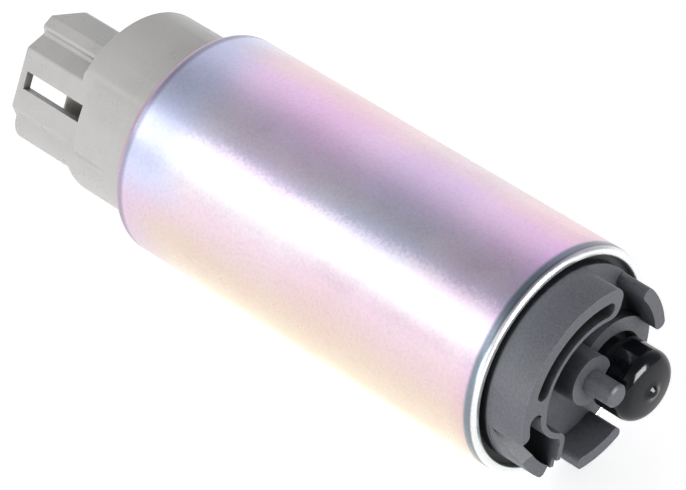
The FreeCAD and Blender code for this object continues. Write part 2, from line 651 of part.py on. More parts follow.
def cut_ramp(body):
    """Ramp on the side lug, from the crescent's lower end up to the lug's top."""
    inside = "lug_inner * cos(side_lug_end_angle - crescent_end_angle)"
    ramp = along(body, "ramp_section", f"{inside} * cos(crescent_end_angle)",
                 f"{inside} * sin(crescent_end_angle)", "crescent_end_angle - 180")
    top = "can_end + lug_rise"
    slope = "ramp_length / (lug_rise - floor_rise - ramp_foot)"
    outline(ramp, [
        ("cover_floor + ramp_foot", 0),
        (f"{top} + overcut", f"-(ramp_length + overcut * {slope})"),
        (f"{top} + overcut", 0),
    ])
    pocket(body, "lug_ramp", ramp, f"can_radius - {inside}")


def make_ribbon(rise):
    """Ribbon wall: a bow out of the crescent, a turn outwards and a straight end."""
    half = "ribbon_wall / 2"

    def bow(sketch):
        sector(sketch, f"ribbon_bow - {half}", f"ribbon_bow + {half}",
               "ribbon_start_angle", "ribbon_turn_angle")

    def turn(sketch):
        sector(sketch, f"ribbon_bend - {half}", f"ribbon_bend + {half}",
               "fence_angle - 270", "ribbon_turn_angle - 180")

    def fence(sketch):
        rectangle(sketch, 0, f"ribbon_bend - {half}", "fence_length", f"ribbon_bend + {half}")

    rise("ribbon_bow_wall", "crescent_rise", bow, "ribbon_y", "ribbon_z")
    rise("ribbon_turn_wall", "crescent_rise", turn, "bend_y", "bend_z")
    def web(sketch):
        rectangle(sketch, f"fence_length - {half}", "ribbon_bend - web_wall / 2",
                  "fence_length + web_length", "ribbon_bend + web_wall / 2")

    rise("ribbon_fence", "crescent_rise", fence, "bend_y", "bend_z", "fence_angle")
    rise("ribbon_web", "web_rise", web, "bend_y", "bend_z", "fence_angle")


def cut_slot(body, name, bottom, depth, inner, outer, ends):
    """An arc shaped slot between two angles, round at each end that isn't open."""
    middle = f"(({outer} + {inner}) / 2)"
    slot = across(body, f"{name}_outline", bottom)
    sector(slot, inner, outer, *ends.values())
    pocket(body, name, slot, depth)
    for place, angle in ends.items():
        if place == "open end":
            continue
        tip = across(body, f"{name}_{place}_outline", bottom)
        circle(tip, f"({outer} - {inner}) / 2", f"{middle} * cos({angle})", f"{middle} * sin({angle})")
        pocket(body, f"{name}_{place}", tip, depth)


def make_channel(body, face, side):
    """Half round pumping channel in a face, from the inlet round to the outflow."""
    section = along(body, "channel_section", lean="inlet_angle - 90")
    edge = f"{face} - {side} * tip_gap"
    quarter = "channel_radius" if side > 0 else "-channel_radius"
    outline(section, [
        (edge, "channel_middle - channel_radius"),
        (face, "channel_middle - channel_radius", quarter),
        (f"{face} + {side} * channel_radius", "channel_middle", quarter),
        (face, "channel_middle + channel_radius"),
        (edge, "channel_middle + channel_radius"),
    ])
    return turned(body, "channel", section, "Groove", "channel_angle")


def make_inlet_cap():
    """Soft transport cap pushed over the inlet nipple."""
    inside = "inlet_radius + running_gap"
    base = "can_end + cap_base_rise"
    crown = "can_end + inlet_rise + touch_gap"
    turned_piece("inlet_cap", [
        (base, inside),
        (base, "cap_outside"),
        ("cap_tip - cap_crown + crown_reach", "cap_outside", "-cap_round"),
        ("cap_tip - cap_crown + crown_reach * cap_crown / (cap_crown - cap_round)",
         "cap_crown * (cap_outside - cap_round) / (cap_crown - cap_round)", "-cap_crown"),
        ("cap_tip", 0),
        (crown, 0),
        (crown, inside),
    ], "inlet_y", "inlet_z")


def make_casing():
    """Pump casing: impeller chamber, channel, outflow and the front bearing's hub."""
    body = turned_piece("pump_casing", [
        ("casing_back", 0),
        ("casing_back", "drop_in"),
        ("cover_back", "drop_in"),
        ("cover_back", "impeller_radius + tip_gap"),
        ("cavity_floor", "impeller_radius + tip_gap"),
        ("cavity_floor", 0),
    ])
    hub = across(body, "hub_outline", "hub_end")
    circle(hub, "hub_radius")
    pad(body, "bearing_hub", hub, "hub_length")
    seat = across(body, "bush_seat_outline", "hub_end")
    circle(seat, "bush_radius + press_gap")
    pocket(body, "bush_bore", seat, "bush_length")
    passage = across(body, "shaft_passage_outline", "bush_seat")
    circle(passage, "shaft_radius + passage_gap")
    pocket(body, "shaft_passage", passage, "cavity_floor - bush_seat")
    make_channel(body, "cavity_floor", -1)
    outflow = across(body, "outflow_outline", "casing_back",
                     turn="inlet_angle + channel_angle - outflow_angle")
    circle(outflow, "outflow_radius", "channel_middle")
    pocket(body, "outflow", outflow, "cavity_floor - casing_back")


def make_impeller():
    """Impeller with grooves round both faces and a flatted bore."""
    body = new_body("impeller")
    rear, front = "cavity_floor + touch_gap", "cover_back - touch_gap"
    disc = across(body, "disc_outline", rear)
    circle(disc, "impeller_radius")
    pad(body, "disc", disc, "impeller_thickness")
    bore = across(body, "bore_outline", rear)
    flatted(bore, "shaft_radius + running_gap", "flat_offset + running_gap")
    pocket(body, "bore", bore, "impeller_thickness")
    grooves = []
    for name, at in (("rear_groove", rear), ("front_groove", f"{front} - vane_depth")):
        sketch = across(body, f"{name}_outline", at)
        rectangle(sketch, "impeller_radius - vane_length", "-vane_width / 2",
                  "impeller_radius + overcut", "vane_width / 2")
        grooves.append(pocket(body, name, sketch, "vane_depth"))
    repeat(body, "grooves", grooves, "vane_count")


def flatted(sketch, radius, flat):
    """A round outline with one flat side, facing the sketch's x."""
    reach = f"sqrt(({radius}) ^ 2 - ({flat}) ^ 2)"
    low = FreeCAD.Vector(number(flat), -number(reach), 0)
    high = FreeCAD.Vector(number(flat), number(reach), 0)
    far = FreeCAD.Vector(-number(radius), 0, 0)
    side = sketch.addGeometry(Part.LineSegment(low, high), False)
    back = sketch.addGeometry(Part.Arc(high, far, low), False)
    sketch.addConstraint(Sketcher.Constraint("Coincident", side, 2, back, 1))
    sketch.addConstraint(Sketcher.Constraint("Coincident", side, 1, back, 2))
    sketch.addConstraint(Sketcher.Constraint("Coincident", back, 3, -1, 1))
    sketch.addConstraint(Sketcher.Constraint("Vertical", side))
    constrain(sketch, "Radius", radius, back)
    constrain(sketch, "DistanceX", flat, -1, 1, side, 1)


def make_bearings():
    """Two sintered bushes and the button that takes the shaft's thrust."""
    bore = "shaft_radius + running_gap"
    turned_piece("front_bearing", tube_points("hub_end", "bush_seat", bore, "bush_radius"))
    turned_piece("rear_bearing",
                 tube_points("rear_bush_back", "rear_bush_back + bush_length", bore, "bush_radius"))
    turned_piece("thrust_button",
                 tube_points("button_back", "button_back + button_thickness", 0, "button_radius"))


def make_magnet_circuit():
    """Flux ring, two magnet segments and the clips that wedge them apart."""
    turned_piece("flux_ring", tube_points("outlet_front", "casing_back", "ring_inside", "drop_in"))
    for label, middle in (("magnet_upper", "90"), ("magnet_lower", "270")):
        body = new_body(label)
        sketch = across(body, f"{label}_outline", "magnet_rear")
        sector(sketch, "magnet_inside", "ring_fit",
               f"{middle} - magnet_angle / 2", f"{middle} + magnet_angle / 2")
        pad(body, f"{label}_arc", sketch, "magnet_length")
    reach = "(90 - magnet_angle / 2 - clip_gap_angle)"
    leg = "(atan(clip_wall / magnet_inside) / 1 deg)"
    for label, middle in (("magnet_clip_left", "180"), ("magnet_clip_right", "0")):
        body = new_body(label)
        sketch = across(body, f"{label}_outline", "magnet_rear")
        sector(sketch, "ring_fit - clip_depth", "ring_fit", f"{middle} - {reach}", f"{middle} + {reach}")
        pad(body, f"{label}_block", sketch, "magnet_length")
        hollow = across(body, f"{label}_hollow_outline", "magnet_rear")
        sector(hollow, "ring_fit - clip_depth - overcut", "ring_fit - clip_wall",
               f"{middle} - {reach} + {leg}", f"{middle} + {reach} - {leg}")
        pocket(body, f"{label}_hollow", hollow, "magnet_length")


def make_shaft():
    """Ground steel shaft with a drive flat for the impeller."""
    body = turned_piece("shaft",
                        tube_points("rear_bush_back + shaft_inset", "shaft_front", 0, "shaft_radius"))
    flat = across(body, "flat_outline", "cavity_floor")
    rectangle(flat, "flat_offset", "-shaft_radius", "shaft_radius + overcut", "shaft_radius")
    pocket(body, "drive_flat", flat, "shaft_front - cavity_floor")


def slotted_disc(label, rear, length, radius):
    """A disc on the shaft with the slots of the core."""
    body = new_body(label)
    disc = across(body, f"{label}_disc_outline", rear)
    circle(disc, radius)
    circle(disc, "shaft_radius + press_gap")
    pad(body, f"{label}_disc", disc, length)
    round_part = across(body, f"{label}_slot_outline", rear)
    circle(round_part, "slot_radius", "slot_centre")
    mouth = across(body, f"{label}_mouth_outline", rear)
    rectangle(mouth, "slot_centre", "-slot_mouth / 2", "core_radius + overcut", "slot_mouth / 2")
    cuts = [
        pocket(body, f"{label}_slot", round_part, length),
        pocket(body, f"{label}_mouth", mouth, length),
    ]
    repeat(body, f"{label}_slots", cuts, "core_slots")


def make_armature():
    """Laminated core, end insulators and windings."""
    rim = "core_radius - insulator_inset"
    slotted_disc("rotor_core", "core_rear", "core_length", "core_radius")
    slotted_disc("front_insulator", "core_front", "insulator_thickness", rim)
    slotted_disc("rear_insulator", "core_rear - insulator_thickness", "insulator_thickness", rim)
    body = new_body("windings")
    bars = across(body, "bar_outline", "head_rear - overcut")
    circle(bars, "slot_radius - press_gap", "slot_centre")
    bar = pad(body, "bar", bars, "head_front - head_rear + 2 * overcut")
    repeat(body, "bars", [bar], "core_slots")
    for name, rear in (("front_head", "head_front"), ("rear_head", "head_rear - head_length")):
        section = along(body, f"{name}_section")
        outline(section, tube_points(rear, f"{rear} + head_length", "head_bore", "head_radius"))
        turned(body, name, section)
    outer_ends = ("head_front + head_length", "head_rear - head_length")
    round_off(body, "head_rounding", "head_round",
              lambda edge: any(is_ring(edge, "head_radius", end) for end in outer_ends))


def make_commutator():
    """Moulded hub and the ring of segments that the brushes run on."""
    turned_piece("commutator_hub", tube_points("hub_rear", "hub_front", "shaft_radius + press_gap",
                                               "commutator_radius"))
    body = new_body("commutator_segments")
    disc = across(body, "segment_disc_outline", "commutator_face")
    circle(disc, "commutator_radius")
    circle(disc, "segment_inner")
    pad(body, "segment_disc", disc, "segment_thickness")
    slit = across(body, "slit_outline", "commutator_face")
    rectangle(slit, "segment_inner - overcut", "-segment_slit / 2",
              "commutator_radius + overcut", "segment_slit / 2")
    first = pocket(body, "slit", slit, "segment_thickness")
    repeat(body, "slits", [first], "core_slots")


def make_brush_gear():
    """Brush holder with two boxes, brushes and their springs."""
    body = turned_piece("brush_holder",
                        tube_points("outlet_front", "outlet_front + holder_thickness", 0, "ring_fit"))
    hub = across(body, "rear_hub_outline", "rear_bush_back - rear_bush_floor")
    circle(hub, "bush_radius + box_wall")
    pad(body, "rear_hub", hub, "bush_length + rear_bush_floor")
    inner = "brush_offset - brush_height / 2 - running_gap"
    outer = "brush_offset + brush_height / 2 + running_gap"
    half = "brush_width / 2 + running_gap"
    for name, turn in (("right", 0), ("left", 180)):
        box = across(body, f"{name}_box_outline", "box_back", turn=turn)
        rectangle(box, f"{inner} - box_wall", f"-({half} + box_wall)",
                  f"{outer} + box_wall", f"{half} + box_wall")
        pad(body, f"{name}_box", box, "box_front - box_back")
    for name, turn in (("right", 0), ("left", 180)):
        room = across(body, f"{name}_room_outline", "box_back + box_wall", turn=turn)
        rectangle(room, inner, f"-({half})", outer, half)
        pocket(body, f"{name}_room", room, "box_front - box_back - box_wall")
    seat = across(body, "rear_bush_outline", "rear_bush_back")
    circle(seat, "bush_radius + press_gap")
    pocket(body, "rear_bush_bore", seat, "bush_length")
    vent = across(body, "vent_outline", "outlet_front", turn="vent_angle")
    circle(vent, "vent_radius", "vent_offset")
    first = pocket(body, "vent", vent, "holder_thickness")
    repeat(body, "vents", [first], "vent_count")
    brush_back = "brush_face - brush_length"
    for name, side in (("right", 1), ("left", -1)):
        brush = new_body(f"brush_{name}")
        block = across(brush, f"{name}_brush_outline", brush_back, f"{side} * brush_offset")
        rectangle(block, "-brush_height / 2", "-brush_width / 2", "brush_height / 2", "brush_width / 2")
        pad(brush, f"{name}_block", block, "brush_length")
        turned_piece(f"brush_spring_{name}",
                     tube_points("box_back + box_wall + touch_gap", f"{brush_back} - touch_gap",
                                 "spring_radius - spring_wire", "spring_radius"), f"{side} * brush_offset")


def make_outlet_cover():
    """Moulded outlet cover: flange, collar, connector, outlet nipple and relief boss."""
    body = turned_piece("outlet_cover", [
        ("outlet_front", "shell_inside"),
        ("outlet_front", "drop_in"),
        ("outlet_seat", "drop_in"),
        ("outlet_seat", "collar_radius"),
        ("collar_end", "collar_radius"),
        ("collar_end", 0),
        ("end_wall", 0),
        ("end_wall", "shell_inside"),
    ])
    round_off(body, "collar_edge", "collar_round", lambda edge: is_ring(edge, "collar_radius", "collar_end"))
    groove = along(body, "seal_groove_section")
    middle = "outlet_seat + outlet_thickness / 2"
    outline(groove, tube_points(f"{middle} - seal_radius - slip_gap", f"{middle} + seal_radius + slip_gap",
                                "can_inside - 2 * seal_radius - press_gap", "can_radius"))
    turned(body, "seal_groove", groove, "Groove")
    make_connector(body)
    make_outlet_nipple(body)
    make_relief_boss(body)


def plug_place(x, y):
    """Where a point of the connector's sketches lies, at its mouth."""
    point = FreeCAD.Vector(number("plug_mouth"), number(x), number(y))
    return FreeCAD.Rotation(FreeCAD.Vector(1, 0, 0), number("plug_angle")).multVec(point)


def make_connector(body):
    """Keyed connector shroud with its latch window, on the cover. The sketches' x points to the latch
    side, and their y to the lower side."""
    corners = [
        ("plug_face - shoulder_depth", "-plug_half"),
        ("plug_face - ear_depth", "-ear_half"),
        ("plug_face - groove_depth", "-groove_half"),
        ("plug_face", "-plug_face_half"),
        ("plug_face", "plug_face_half"),
        ("plug_face - step_depth", "step_half"),
    ]
    shape = across(body, "plug_outline", "plug_mouth", turn="plug_angle")
    outline(shape, corners + [
        ("plug_face - step_depth", "plug_low_half - heel_round", "heel_round"),
        ("plug_face - step_depth - heel_round", "plug_low_half"),
        ("plug_back + plug_back_round", "plug_low_half", "plug_back_round"),
        ("plug_back", "plug_low_half - plug_back_round"),
        ("plug_back", "plug_back_round - plug_half", "plug_back_round"),
        ("plug_back + plug_back_round", "-plug_half"),
    ])
    pad(body, "plug_shroud", shape, "end_wall - plug_mouth")
    places = [plug_place(x, y) for x, y in corners]
    round_off(body, "plug_long_edges", "plug_round", lambda edge: runs_along(edge, places))
    flat = across(body, "latch_flat_outline", "collar_end - overcut", turn="plug_angle")
    rectangle(flat, "plug_face", "-collar_radius / 2", "collar_radius + overcut", "collar_radius / 2")
    pocket(body, "latch_flat", flat, "latch_end - collar_end + overcut")
    inside = "plug_face - plug_wall"
    floor = "plug_back + plug_wall"
    for name, points in (("socket", (floor, "-socket_half", "socket_level", "socket_half")),
                         ("socket_key", (floor, "-socket_key_half", inside, "socket_key_half"))):
        room = across(body, f"{name}_outline", "plug_mouth", turn="plug_angle")
        rectangle(room, *points)
        pocket(body, name, room, "socket_depth")
    latch = across(body, "latch_outline", "plug_mouth + latch_inset", turn="plug_angle")
    rectangle(latch, f"{inside} - overcut", "-latch_height / 2", "plug_face + overcut", "latch_height / 2")
    pocket(body, "latch_window", latch, "latch_length")
    for name, side in (("low", -1), ("high", 1)):
        slit = across(body, f"blade_slit_{name}_outline", "socket_floor", turn="plug_angle")
        blade_rectangle(slit, side, "press_gap")
        pocket(body, f"blade_slit_{name}", slit, "end_wall - socket_floor")


def blade_rectangle(sketch, side, gap):
    """Section of a terminal blade, with a gap round it."""
    middle = f"{side} * blade_spacing / 2"
    rectangle(sketch, f"blade_level - blade_thickness / 2 - {gap}", f"{middle} - blade_width / 2 - {gap}",
              f"blade_level + blade_thickness / 2 + {gap}", f"{middle} + blade_width / 2 + {gap}")


def make_outlet_nipple(body):
    """Beaded outlet nipple with the check valve's bore."""
    section = along(body, "outlet_nipple_section", "outlet_y", "outlet_z")
    bead_end = "outlet_tip + bead_inset"
    outline(section, [
        ("end_wall", 0),
        ("end_wall", "outlet_radius"),
        (f"{bead_end} + bead_width", "outlet_radius"),
        (f"{bead_end} + bead_width / 2", "bead_radius"),
        (f"{bead_end} + bead_width / 3", "bead_radius"),
        (bead_end, "outlet_radius"),
        ("outlet_tip", "outlet_radius - tip_chamfer"),
        ("outlet_tip", 0),
    ])
    turned(body, "outlet_nipple", section)
    bore = across(body, "outlet_bore_outline", "outlet_tip", "outlet_y", "outlet_z")
    circle(bore, "outlet_bore")
    pocket(body, "outlet_passage", bore, "seat_face - outlet_tip")
    seat = across(body, "valve_seat_outline", "seat_face", "outlet_y", "outlet_z")
    circle(seat, "valve_seat")
    pocket(body, "valve_seat_hole", seat, "end_wall - seat_face")


def make_relief_boss(body):
    """Boss with the relief valve's bore and seat."""
    boss = across(body, "relief_boss_outline", "relief_tip", "relief_y", "relief_z")
    circle(boss, "relief_radius")
    pad(body, "relief_boss", boss, "end_wall - relief_tip")
    bore = across(body, "relief_bore_outline", "relief_tip", "relief_y", "relief_z")
    circle(bore, "relief_bore")
    pocket(body, "relief_passage", bore, "relief_face - relief_tip")
    seat = across(body, "relief_seat_outline", "relief_face", "relief_y", "relief_z")
    circle(seat, "relief_seat")
    pocket(body, "relief_seat_hole", seat, "end_wall - relief_face")


def make_seal():
    """Rubber ring between the outlet cover and the can."""
    body = new_body("outlet_seal")
    section = along(body, "seal_section")
    circle(section, "seal_radius", "outlet_seat + outlet_thickness / 2", "can_inside - seal_radius")
    turned(body, "seal_ring", section)


def make_terminals():
    """Terminal blades and the two chokes beside them."""
    for label, side, angle in (("terminal_low", -1, 180 + 90), ("terminal_high", 1, 90)):
        body = new_body(label)
        blade = across(body, f"{label}_outline", "plug_mouth + blade_inset", turn="plug_angle")
        blade_rectangle(blade, side, 0)
        pad(body, f"{label}_blade", blade, "end_wall + blade_tail - plug_mouth - blade_inset")
        choke = label.replace("terminal", "choke")
        y, z = f"choke_offset * cos({angle})", f"choke_offset * sin({angle})"
        front = "outlet_front"
        turned_piece(f"{choke}_rod", tube_points(f"{front} - choke_length", front, 0, "choke_radius"), y, z)
        coil_front = f"{front} - (choke_length - coil_length) / 2"
        turned_piece(f"{choke}_coil", tube_points(f"{coil_front} - coil_length", coil_front,
                                                  "choke_radius + press_gap", "coil_radius"), y, z)


def make_check_valve():
    """Poppet, spring and cage in the outlet nipple."""
    head = "seat_face - touch_gap"
    turned_piece("check_valve_poppet", [
        (head, 0),
        (head, "poppet_radius"),
        (f"{head} - poppet_thickness", "poppet_radius"),
        (f"{head} - poppet_thickness", "stem_radius"),
        ("cage_front - stem_entry", "stem_radius"),
        ("cage_front - stem_entry", 0),
    ], "outlet_y", "outlet_z")
    coil = tube_points("cage_front + touch_gap", f"{head} - poppet_thickness - touch_gap",
                       "valve_spring_radius - spring_wire", "valve_spring_radius")
    turned_piece("check_valve_spring", coil, "outlet_y", "outlet_z")
    disc = tube_points("cage_front - cage_thickness", "cage_front",
                       "stem_radius + stem_gap", "outlet_bore - press_gap")
    cage = turned_piece("check_valve_cage", disc, "outlet_y", "outlet_z")
    for i in range(int(number("cage_hole_count"))):
        angle = f"(360 * {i} / cage_hole_count)"
        hole = across(cage, f"cage_hole_{i}_outline", "cage_front - cage_thickness")
        circle(hole, "cage_hole", f"outlet_y + cage_hole_offset * cos({angle})",
               f"outlet_z + cage_hole_offset * sin({angle})")
        pocket(cage, f"cage_hole_{i}", hole, "cage_thickness")


def make_relief_valve():
    """Ball, spring and retaining ring in the relief boss."""
    ball = doc.addObject("Part::Sphere", "relief_ball")
    ball.Label = "relief_ball"
    bind(ball, "Radius", "ball_radius")
    bind(ball, "Placement.Base.x", "ball_middle")
    bind(ball, "Placement.Base.y", "relief_y")
    bind(ball, "Placement.Base.z", "relief_z")
    ring_front = "relief_tip + retainer_thickness"
    coil = tube_points(f"{ring_front} + touch_gap", "ball_middle - ball_radius + 2 * touch_gap",
                       "ball_radius - 2 * spring_wire", "ball_radius - spring_wire")
    turned_piece("relief_spring", coil, "relief_y", "relief_z")
    turned_piece("relief_retainer",
                 tube_points("relief_tip", ring_front, "retainer_hole", "relief_bore - press_gap"),
                 "relief_y", "relief_z")


def check_and_write():
    """Stop on any failed object, then write each node's file."""
    doc.recompute()
    for item in doc.Objects:
        if "Invalid" in item.State or "Error" in item.State:
            raise RuntimeError(f"{item.Label} failed: {item.State}")
    nodes = [item for item in doc.Objects if item.TypeId == "PartDesign::Body" or item.Name == "relief_ball"]
    for node in nodes:
        if node.Shape.isNull() or not node.Shape.isValid() or not node.Shape.Solids:
            raise RuntimeError(f"{node.Label} has no valid solid")
    os.makedirs("parts", exist_ok=True)
    for node in nodes:
        node.Shape.exportStep(os.path.join("parts", f"{node.Label}.step"))
        box = node.Shape.BoundBox
        print(f"{node.Label:22s} solids {len(node.Shape.Solids)} volume {node.Shape.Volume:9.2f} "
              f"x {box.XMin:7.2f} {box.XMax:7.2f} y {box.YMin:7.2f} {box.YMax:7.2f} "
              f"z {box.ZMin:7.2f} {box.ZMax:7.2f}")


make_can()
make_inlet_cover()
make_inlet_cap()
make_casing()
make_impeller()
make_bearings()
make_magnet_circuit()
make_shaft()
make_armature()
make_commutator()
make_brush_gear()
make_outlet_cover()
make_seal()
make_terminals()
make_check_valve()
make_relief_valve()
check_and_write()
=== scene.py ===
import math

import bmesh
import bpy
from mathutils import Matrix, Vector


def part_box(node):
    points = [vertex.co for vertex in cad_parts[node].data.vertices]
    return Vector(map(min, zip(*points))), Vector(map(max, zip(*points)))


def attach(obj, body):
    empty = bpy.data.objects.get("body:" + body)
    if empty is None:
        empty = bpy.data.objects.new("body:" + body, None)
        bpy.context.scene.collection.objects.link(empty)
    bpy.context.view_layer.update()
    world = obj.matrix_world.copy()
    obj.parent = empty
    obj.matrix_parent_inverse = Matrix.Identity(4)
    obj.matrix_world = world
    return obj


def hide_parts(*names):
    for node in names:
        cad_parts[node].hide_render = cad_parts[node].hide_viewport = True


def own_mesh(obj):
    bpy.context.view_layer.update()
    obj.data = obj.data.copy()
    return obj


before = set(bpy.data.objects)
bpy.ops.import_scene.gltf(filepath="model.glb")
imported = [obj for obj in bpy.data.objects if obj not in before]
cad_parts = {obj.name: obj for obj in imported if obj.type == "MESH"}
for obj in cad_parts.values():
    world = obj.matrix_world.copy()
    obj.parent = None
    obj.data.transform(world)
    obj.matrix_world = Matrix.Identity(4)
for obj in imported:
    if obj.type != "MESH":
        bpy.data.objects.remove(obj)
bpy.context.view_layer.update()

MM = 0.001
FULL_TURN = 2 * math.pi
WHITE = (1, 1, 1, 1)

CAN_LOW, CAN_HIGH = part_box("housing_can")
CAN_RADIUS = CAN_HIGH.y
REST_LEVEL = CAN_LOW.z

# Sockets of the Mix node when it mixes colours
MIX_AMOUNT = 0
MIX_UNDER = 6
MIX_OVER = 7
MIX_RESULT = 2

# Node helpers


def wire(tree, socket, value):
    """Feed a socket from another socket, or set it to a value."""
    if isinstance(value, bpy.types.NodeSocket):
        tree.links.new(value, socket)
    else:
        socket.default_value = value


def add(tree, kind, inputs=None, **settings):
    """A node with its settings, and its inputs as values or other sockets."""
    made = tree.nodes.new(f"ShaderNode{kind}")
    for name, value in settings.items():
        setattr(made, name, value)
    for name, value in (inputs or {}).items():
        wire(tree, made.inputs[name], value)
    return made


def calc(tree, operation, *values):
    """One step of arithmetic."""
    made = tree.nodes.new("ShaderNodeMath")
    made.operation = operation
    for socket, value in zip(made.inputs, values):
        wire(tree, socket, value)
    return made.outputs[0]


def plus(tree, *values):
    """Values added up."""
    total = values[0]
    for value in values[1:]:
        total = calc(tree, "ADD", total, value)
    return total


def times(tree, *values):
    """Values multiplied together."""
    product = values[0]
    for value in values[1:]:
        product = calc(tree, "MULTIPLY", product, value)
    return product


def tint(tree, amount, under, over, kind="MIX"):
    """A colour laid over another one."""
    made = tree.nodes.new("ShaderNodeMix")
    made.data_type = "RGBA"
    made.blend_type = kind
    wire(tree, made.inputs[MIX_AMOUNT], amount)
    wire(tree, made.inputs[MIX_UNDER], under)
    wire(tree, made.inputs[MIX_OVER], over)
    return made.outputs[MIX_RESULT]


def fade(tree, value, low, high, to_low=0.0, to_high=1.0):
    """A value's range moved to another range, smoothly and within its ends."""
    made = add(tree, "MapRange", interpolation_type="SMOOTHSTEP")
    for place, item in enumerate((value, low, high, to_low, to_high)):
        wire(tree, made.inputs[place], item)
    return made.outputs[0]


def bands(tree, value, stops):
    """Colours along a value from 0 to 1."""
    made = tree.nodes.new("ShaderNodeValToRGB")
    line = made.color_ramp
    line.elements[0].position = stops[0][0]
    line.elements[1].position = stops[-1][0]
    for place, _ in stops[1:-1]:
        line.elements.new(place)
    for element, (_, colour) in zip(line.elements, stops):
        element.color = (*colour, 1)
    wire(tree, made.inputs[0], value)
    return made.outputs[0]


def own_place(tree):
    """The surface point on the piece itself, in metres."""
    return add(tree, "TexCoord").outputs["Object"]


def noise(tree, place, scale, detail, roughness, stretch=(1, 1, 1)):
    """Soft random values over the surface."""
    mapping = add(tree, "Mapping", {"Vector": place, "Scale": stretch})
    made = add(tree, "TexNoise", {"Vector": mapping.outputs[0], "Scale": scale, "Detail": detail,
                                  "Roughness": roughness})
    return made.outputs["Fac"]


def sway(tree, amount, random_value):
    """A random value made to swing about zero by this much."""
    return times(tree, calc(tree, "SUBTRACT", random_value, 0.5), amount)


def scaled(colour, share):
    """A colour made darker or lighter."""
    return (*(min(1.0, share * part) for part in colour), 1)


def new_material(name):
    """An empty material, with its tree and shader."""
    material = bpy.data.materials.new(name)
    material.use_nodes = True
    tree = material.node_tree
    return material, tree, tree.nodes["Principled BSDF"]


def bump(tree, height, strength, distance):
    """A normal from a height."""
    return add(tree, "Bump", {"Height": height, "Strength": strength, "Distance": distance}).outputs[0]


# Shared effects


def new_group(name, inputs, outputs):
    """An empty node group with named sockets."""
    tree = bpy.data.node_groups.new(name, "ShaderNodeTree")
    for label, value in inputs.items():
        socket = tree.interface.new_socket(name=label, in_out="INPUT", socket_type="NodeSocketFloat")
        socket.default_value = value
    for label in outputs:
        tree.interface.new_socket(name=label, in_out="OUTPUT", socket_type="NodeSocketFloat")
    given = tree.nodes.new("NodeGroupInput").outputs
    gives = tree.nodes.new("NodeGroupOutput").inputs
    return tree, given, gives


def mould_grain_group():
    """Fine grain of a mould, and the slow unevenness of what was moulded in it."""
    tree, given, gives = new_group("Mould grain", {"Grain scale": 6000, "Flow scale": 120},
                                   ("Height", "Mottle", "Speckle"))
    place = own_place(tree)
    fine = noise(tree, place, given["Grain scale"], 2, 0.6)
    flow = noise(tree, place, given["Flow scale"], 4, 0.6)
    wire(tree, gives["Height"], plus(tree, times(tree, fine, 0.6), times(tree, flow, 0.4)))
    wire(tree, gives["Mottle"], flow)
    wire(tree, gives["Speckle"], fade(tree, fine, 0.38, 0.62))
    return tree


def edge_wear_and_gleam_group():
    """A mask that is 1 on outer edges, broken up as rubbing leaves it. The lighter edge it lays down is wear,
    and on the dark moulding partly a painted edge highlight too.
    """
    tree, given, gives = new_group("Edge wear", {"Radius": 0.3 * MM, "Amount": 1.0}, ("Mask",))
    bevel = add(tree, "Bevel", {"Radius": given["Radius"]}, samples=6)
    geometry = add(tree, "NewGeometry")
    turn = add(tree, "VectorMath", operation="DOT_PRODUCT")
    wire(tree, turn.inputs[0], bevel.outputs[0])
    wire(tree, turn.inputs[1], geometry.outputs["Normal"])
    edge = fade(tree, turn.outputs["Value"], 0.985, 0.86)
    patches = fade(tree, noise(tree, own_place(tree), 900, 4, 0.7), 0.35, 0.65)
    wire(tree, gives["Mask"], times(tree, edge, patches, given["Amount"]))
    return tree


def painted_shade_group():
    """A mask for painted shade: 1 in a piece's own recesses and inner corners, where ambient occlusion finds
    them closed in.
    """
    tree, given, gives = new_group("Painted recess shade", {"Depth": 4.0 * MM, "Amount": 1.0}, ("Mask",))
    open_sky = add(tree, "AmbientOcclusion", {"Distance": given["Depth"]}, samples=8, only_local=True)
    # Painted shade: where ambient occlusion is low, the mask rises to darken the colour.
    closed = fade(tree, open_sky.outputs["AO"], 0.74, 0.28)
    wire(tree, gives["Mask"], times(tree, closed, given["Amount"]))
    return tree


def dust_group():
    """Faint specks and handling marks."""
    tree, given, gives = new_group("Dust", {"Amount": 0.3}, ("Mask",))
    place = own_place(tree)
    specks = fade(tree, noise(tree, place, 2600, 2, 0.5), 0.70, 0.80)
    clouds = fade(tree, noise(tree, place, 60, 3, 0.6), 0.45, 0.75)
    wire(tree, gives["Mask"], times(tree, specks, clouds, given["Amount"]))
    return tree


def tool_marks_group():
    """Fine rings round the pump's axis, and streaks across them, as turning or drawing leaves them."""
    tree, given, gives = new_group("Tool marks", {"Pitch scale": 9000}, ("Height", "Streaks"))
    place = own_place(tree)
    wire(tree, gives["Height"], noise(tree, place, given["Pitch scale"], 1, 0.5, (1, 0.01, 0.01)))
    wire(tree, gives["Streaks"], noise(tree, place, 700, 3, 0.6, (0.04, 1, 1)))
    return tree


GROUPS = {
    "grain": mould_grain_group(),
    "wear": edge_wear_and_gleam_group(),
    "hollows": painted_shade_group(),
    "dust": dust_group(),
    "marks": tool_marks_group(),
}


def effect(tree, key, **values):
    """One of the shared effects in a material, with its own values."""
    made = add(tree, "Group", node_tree=GROUPS[key])
    for label, value in values.items():
        made.inputs[label.replace("_", " ").capitalize()].default_value = value
    return made.outputs
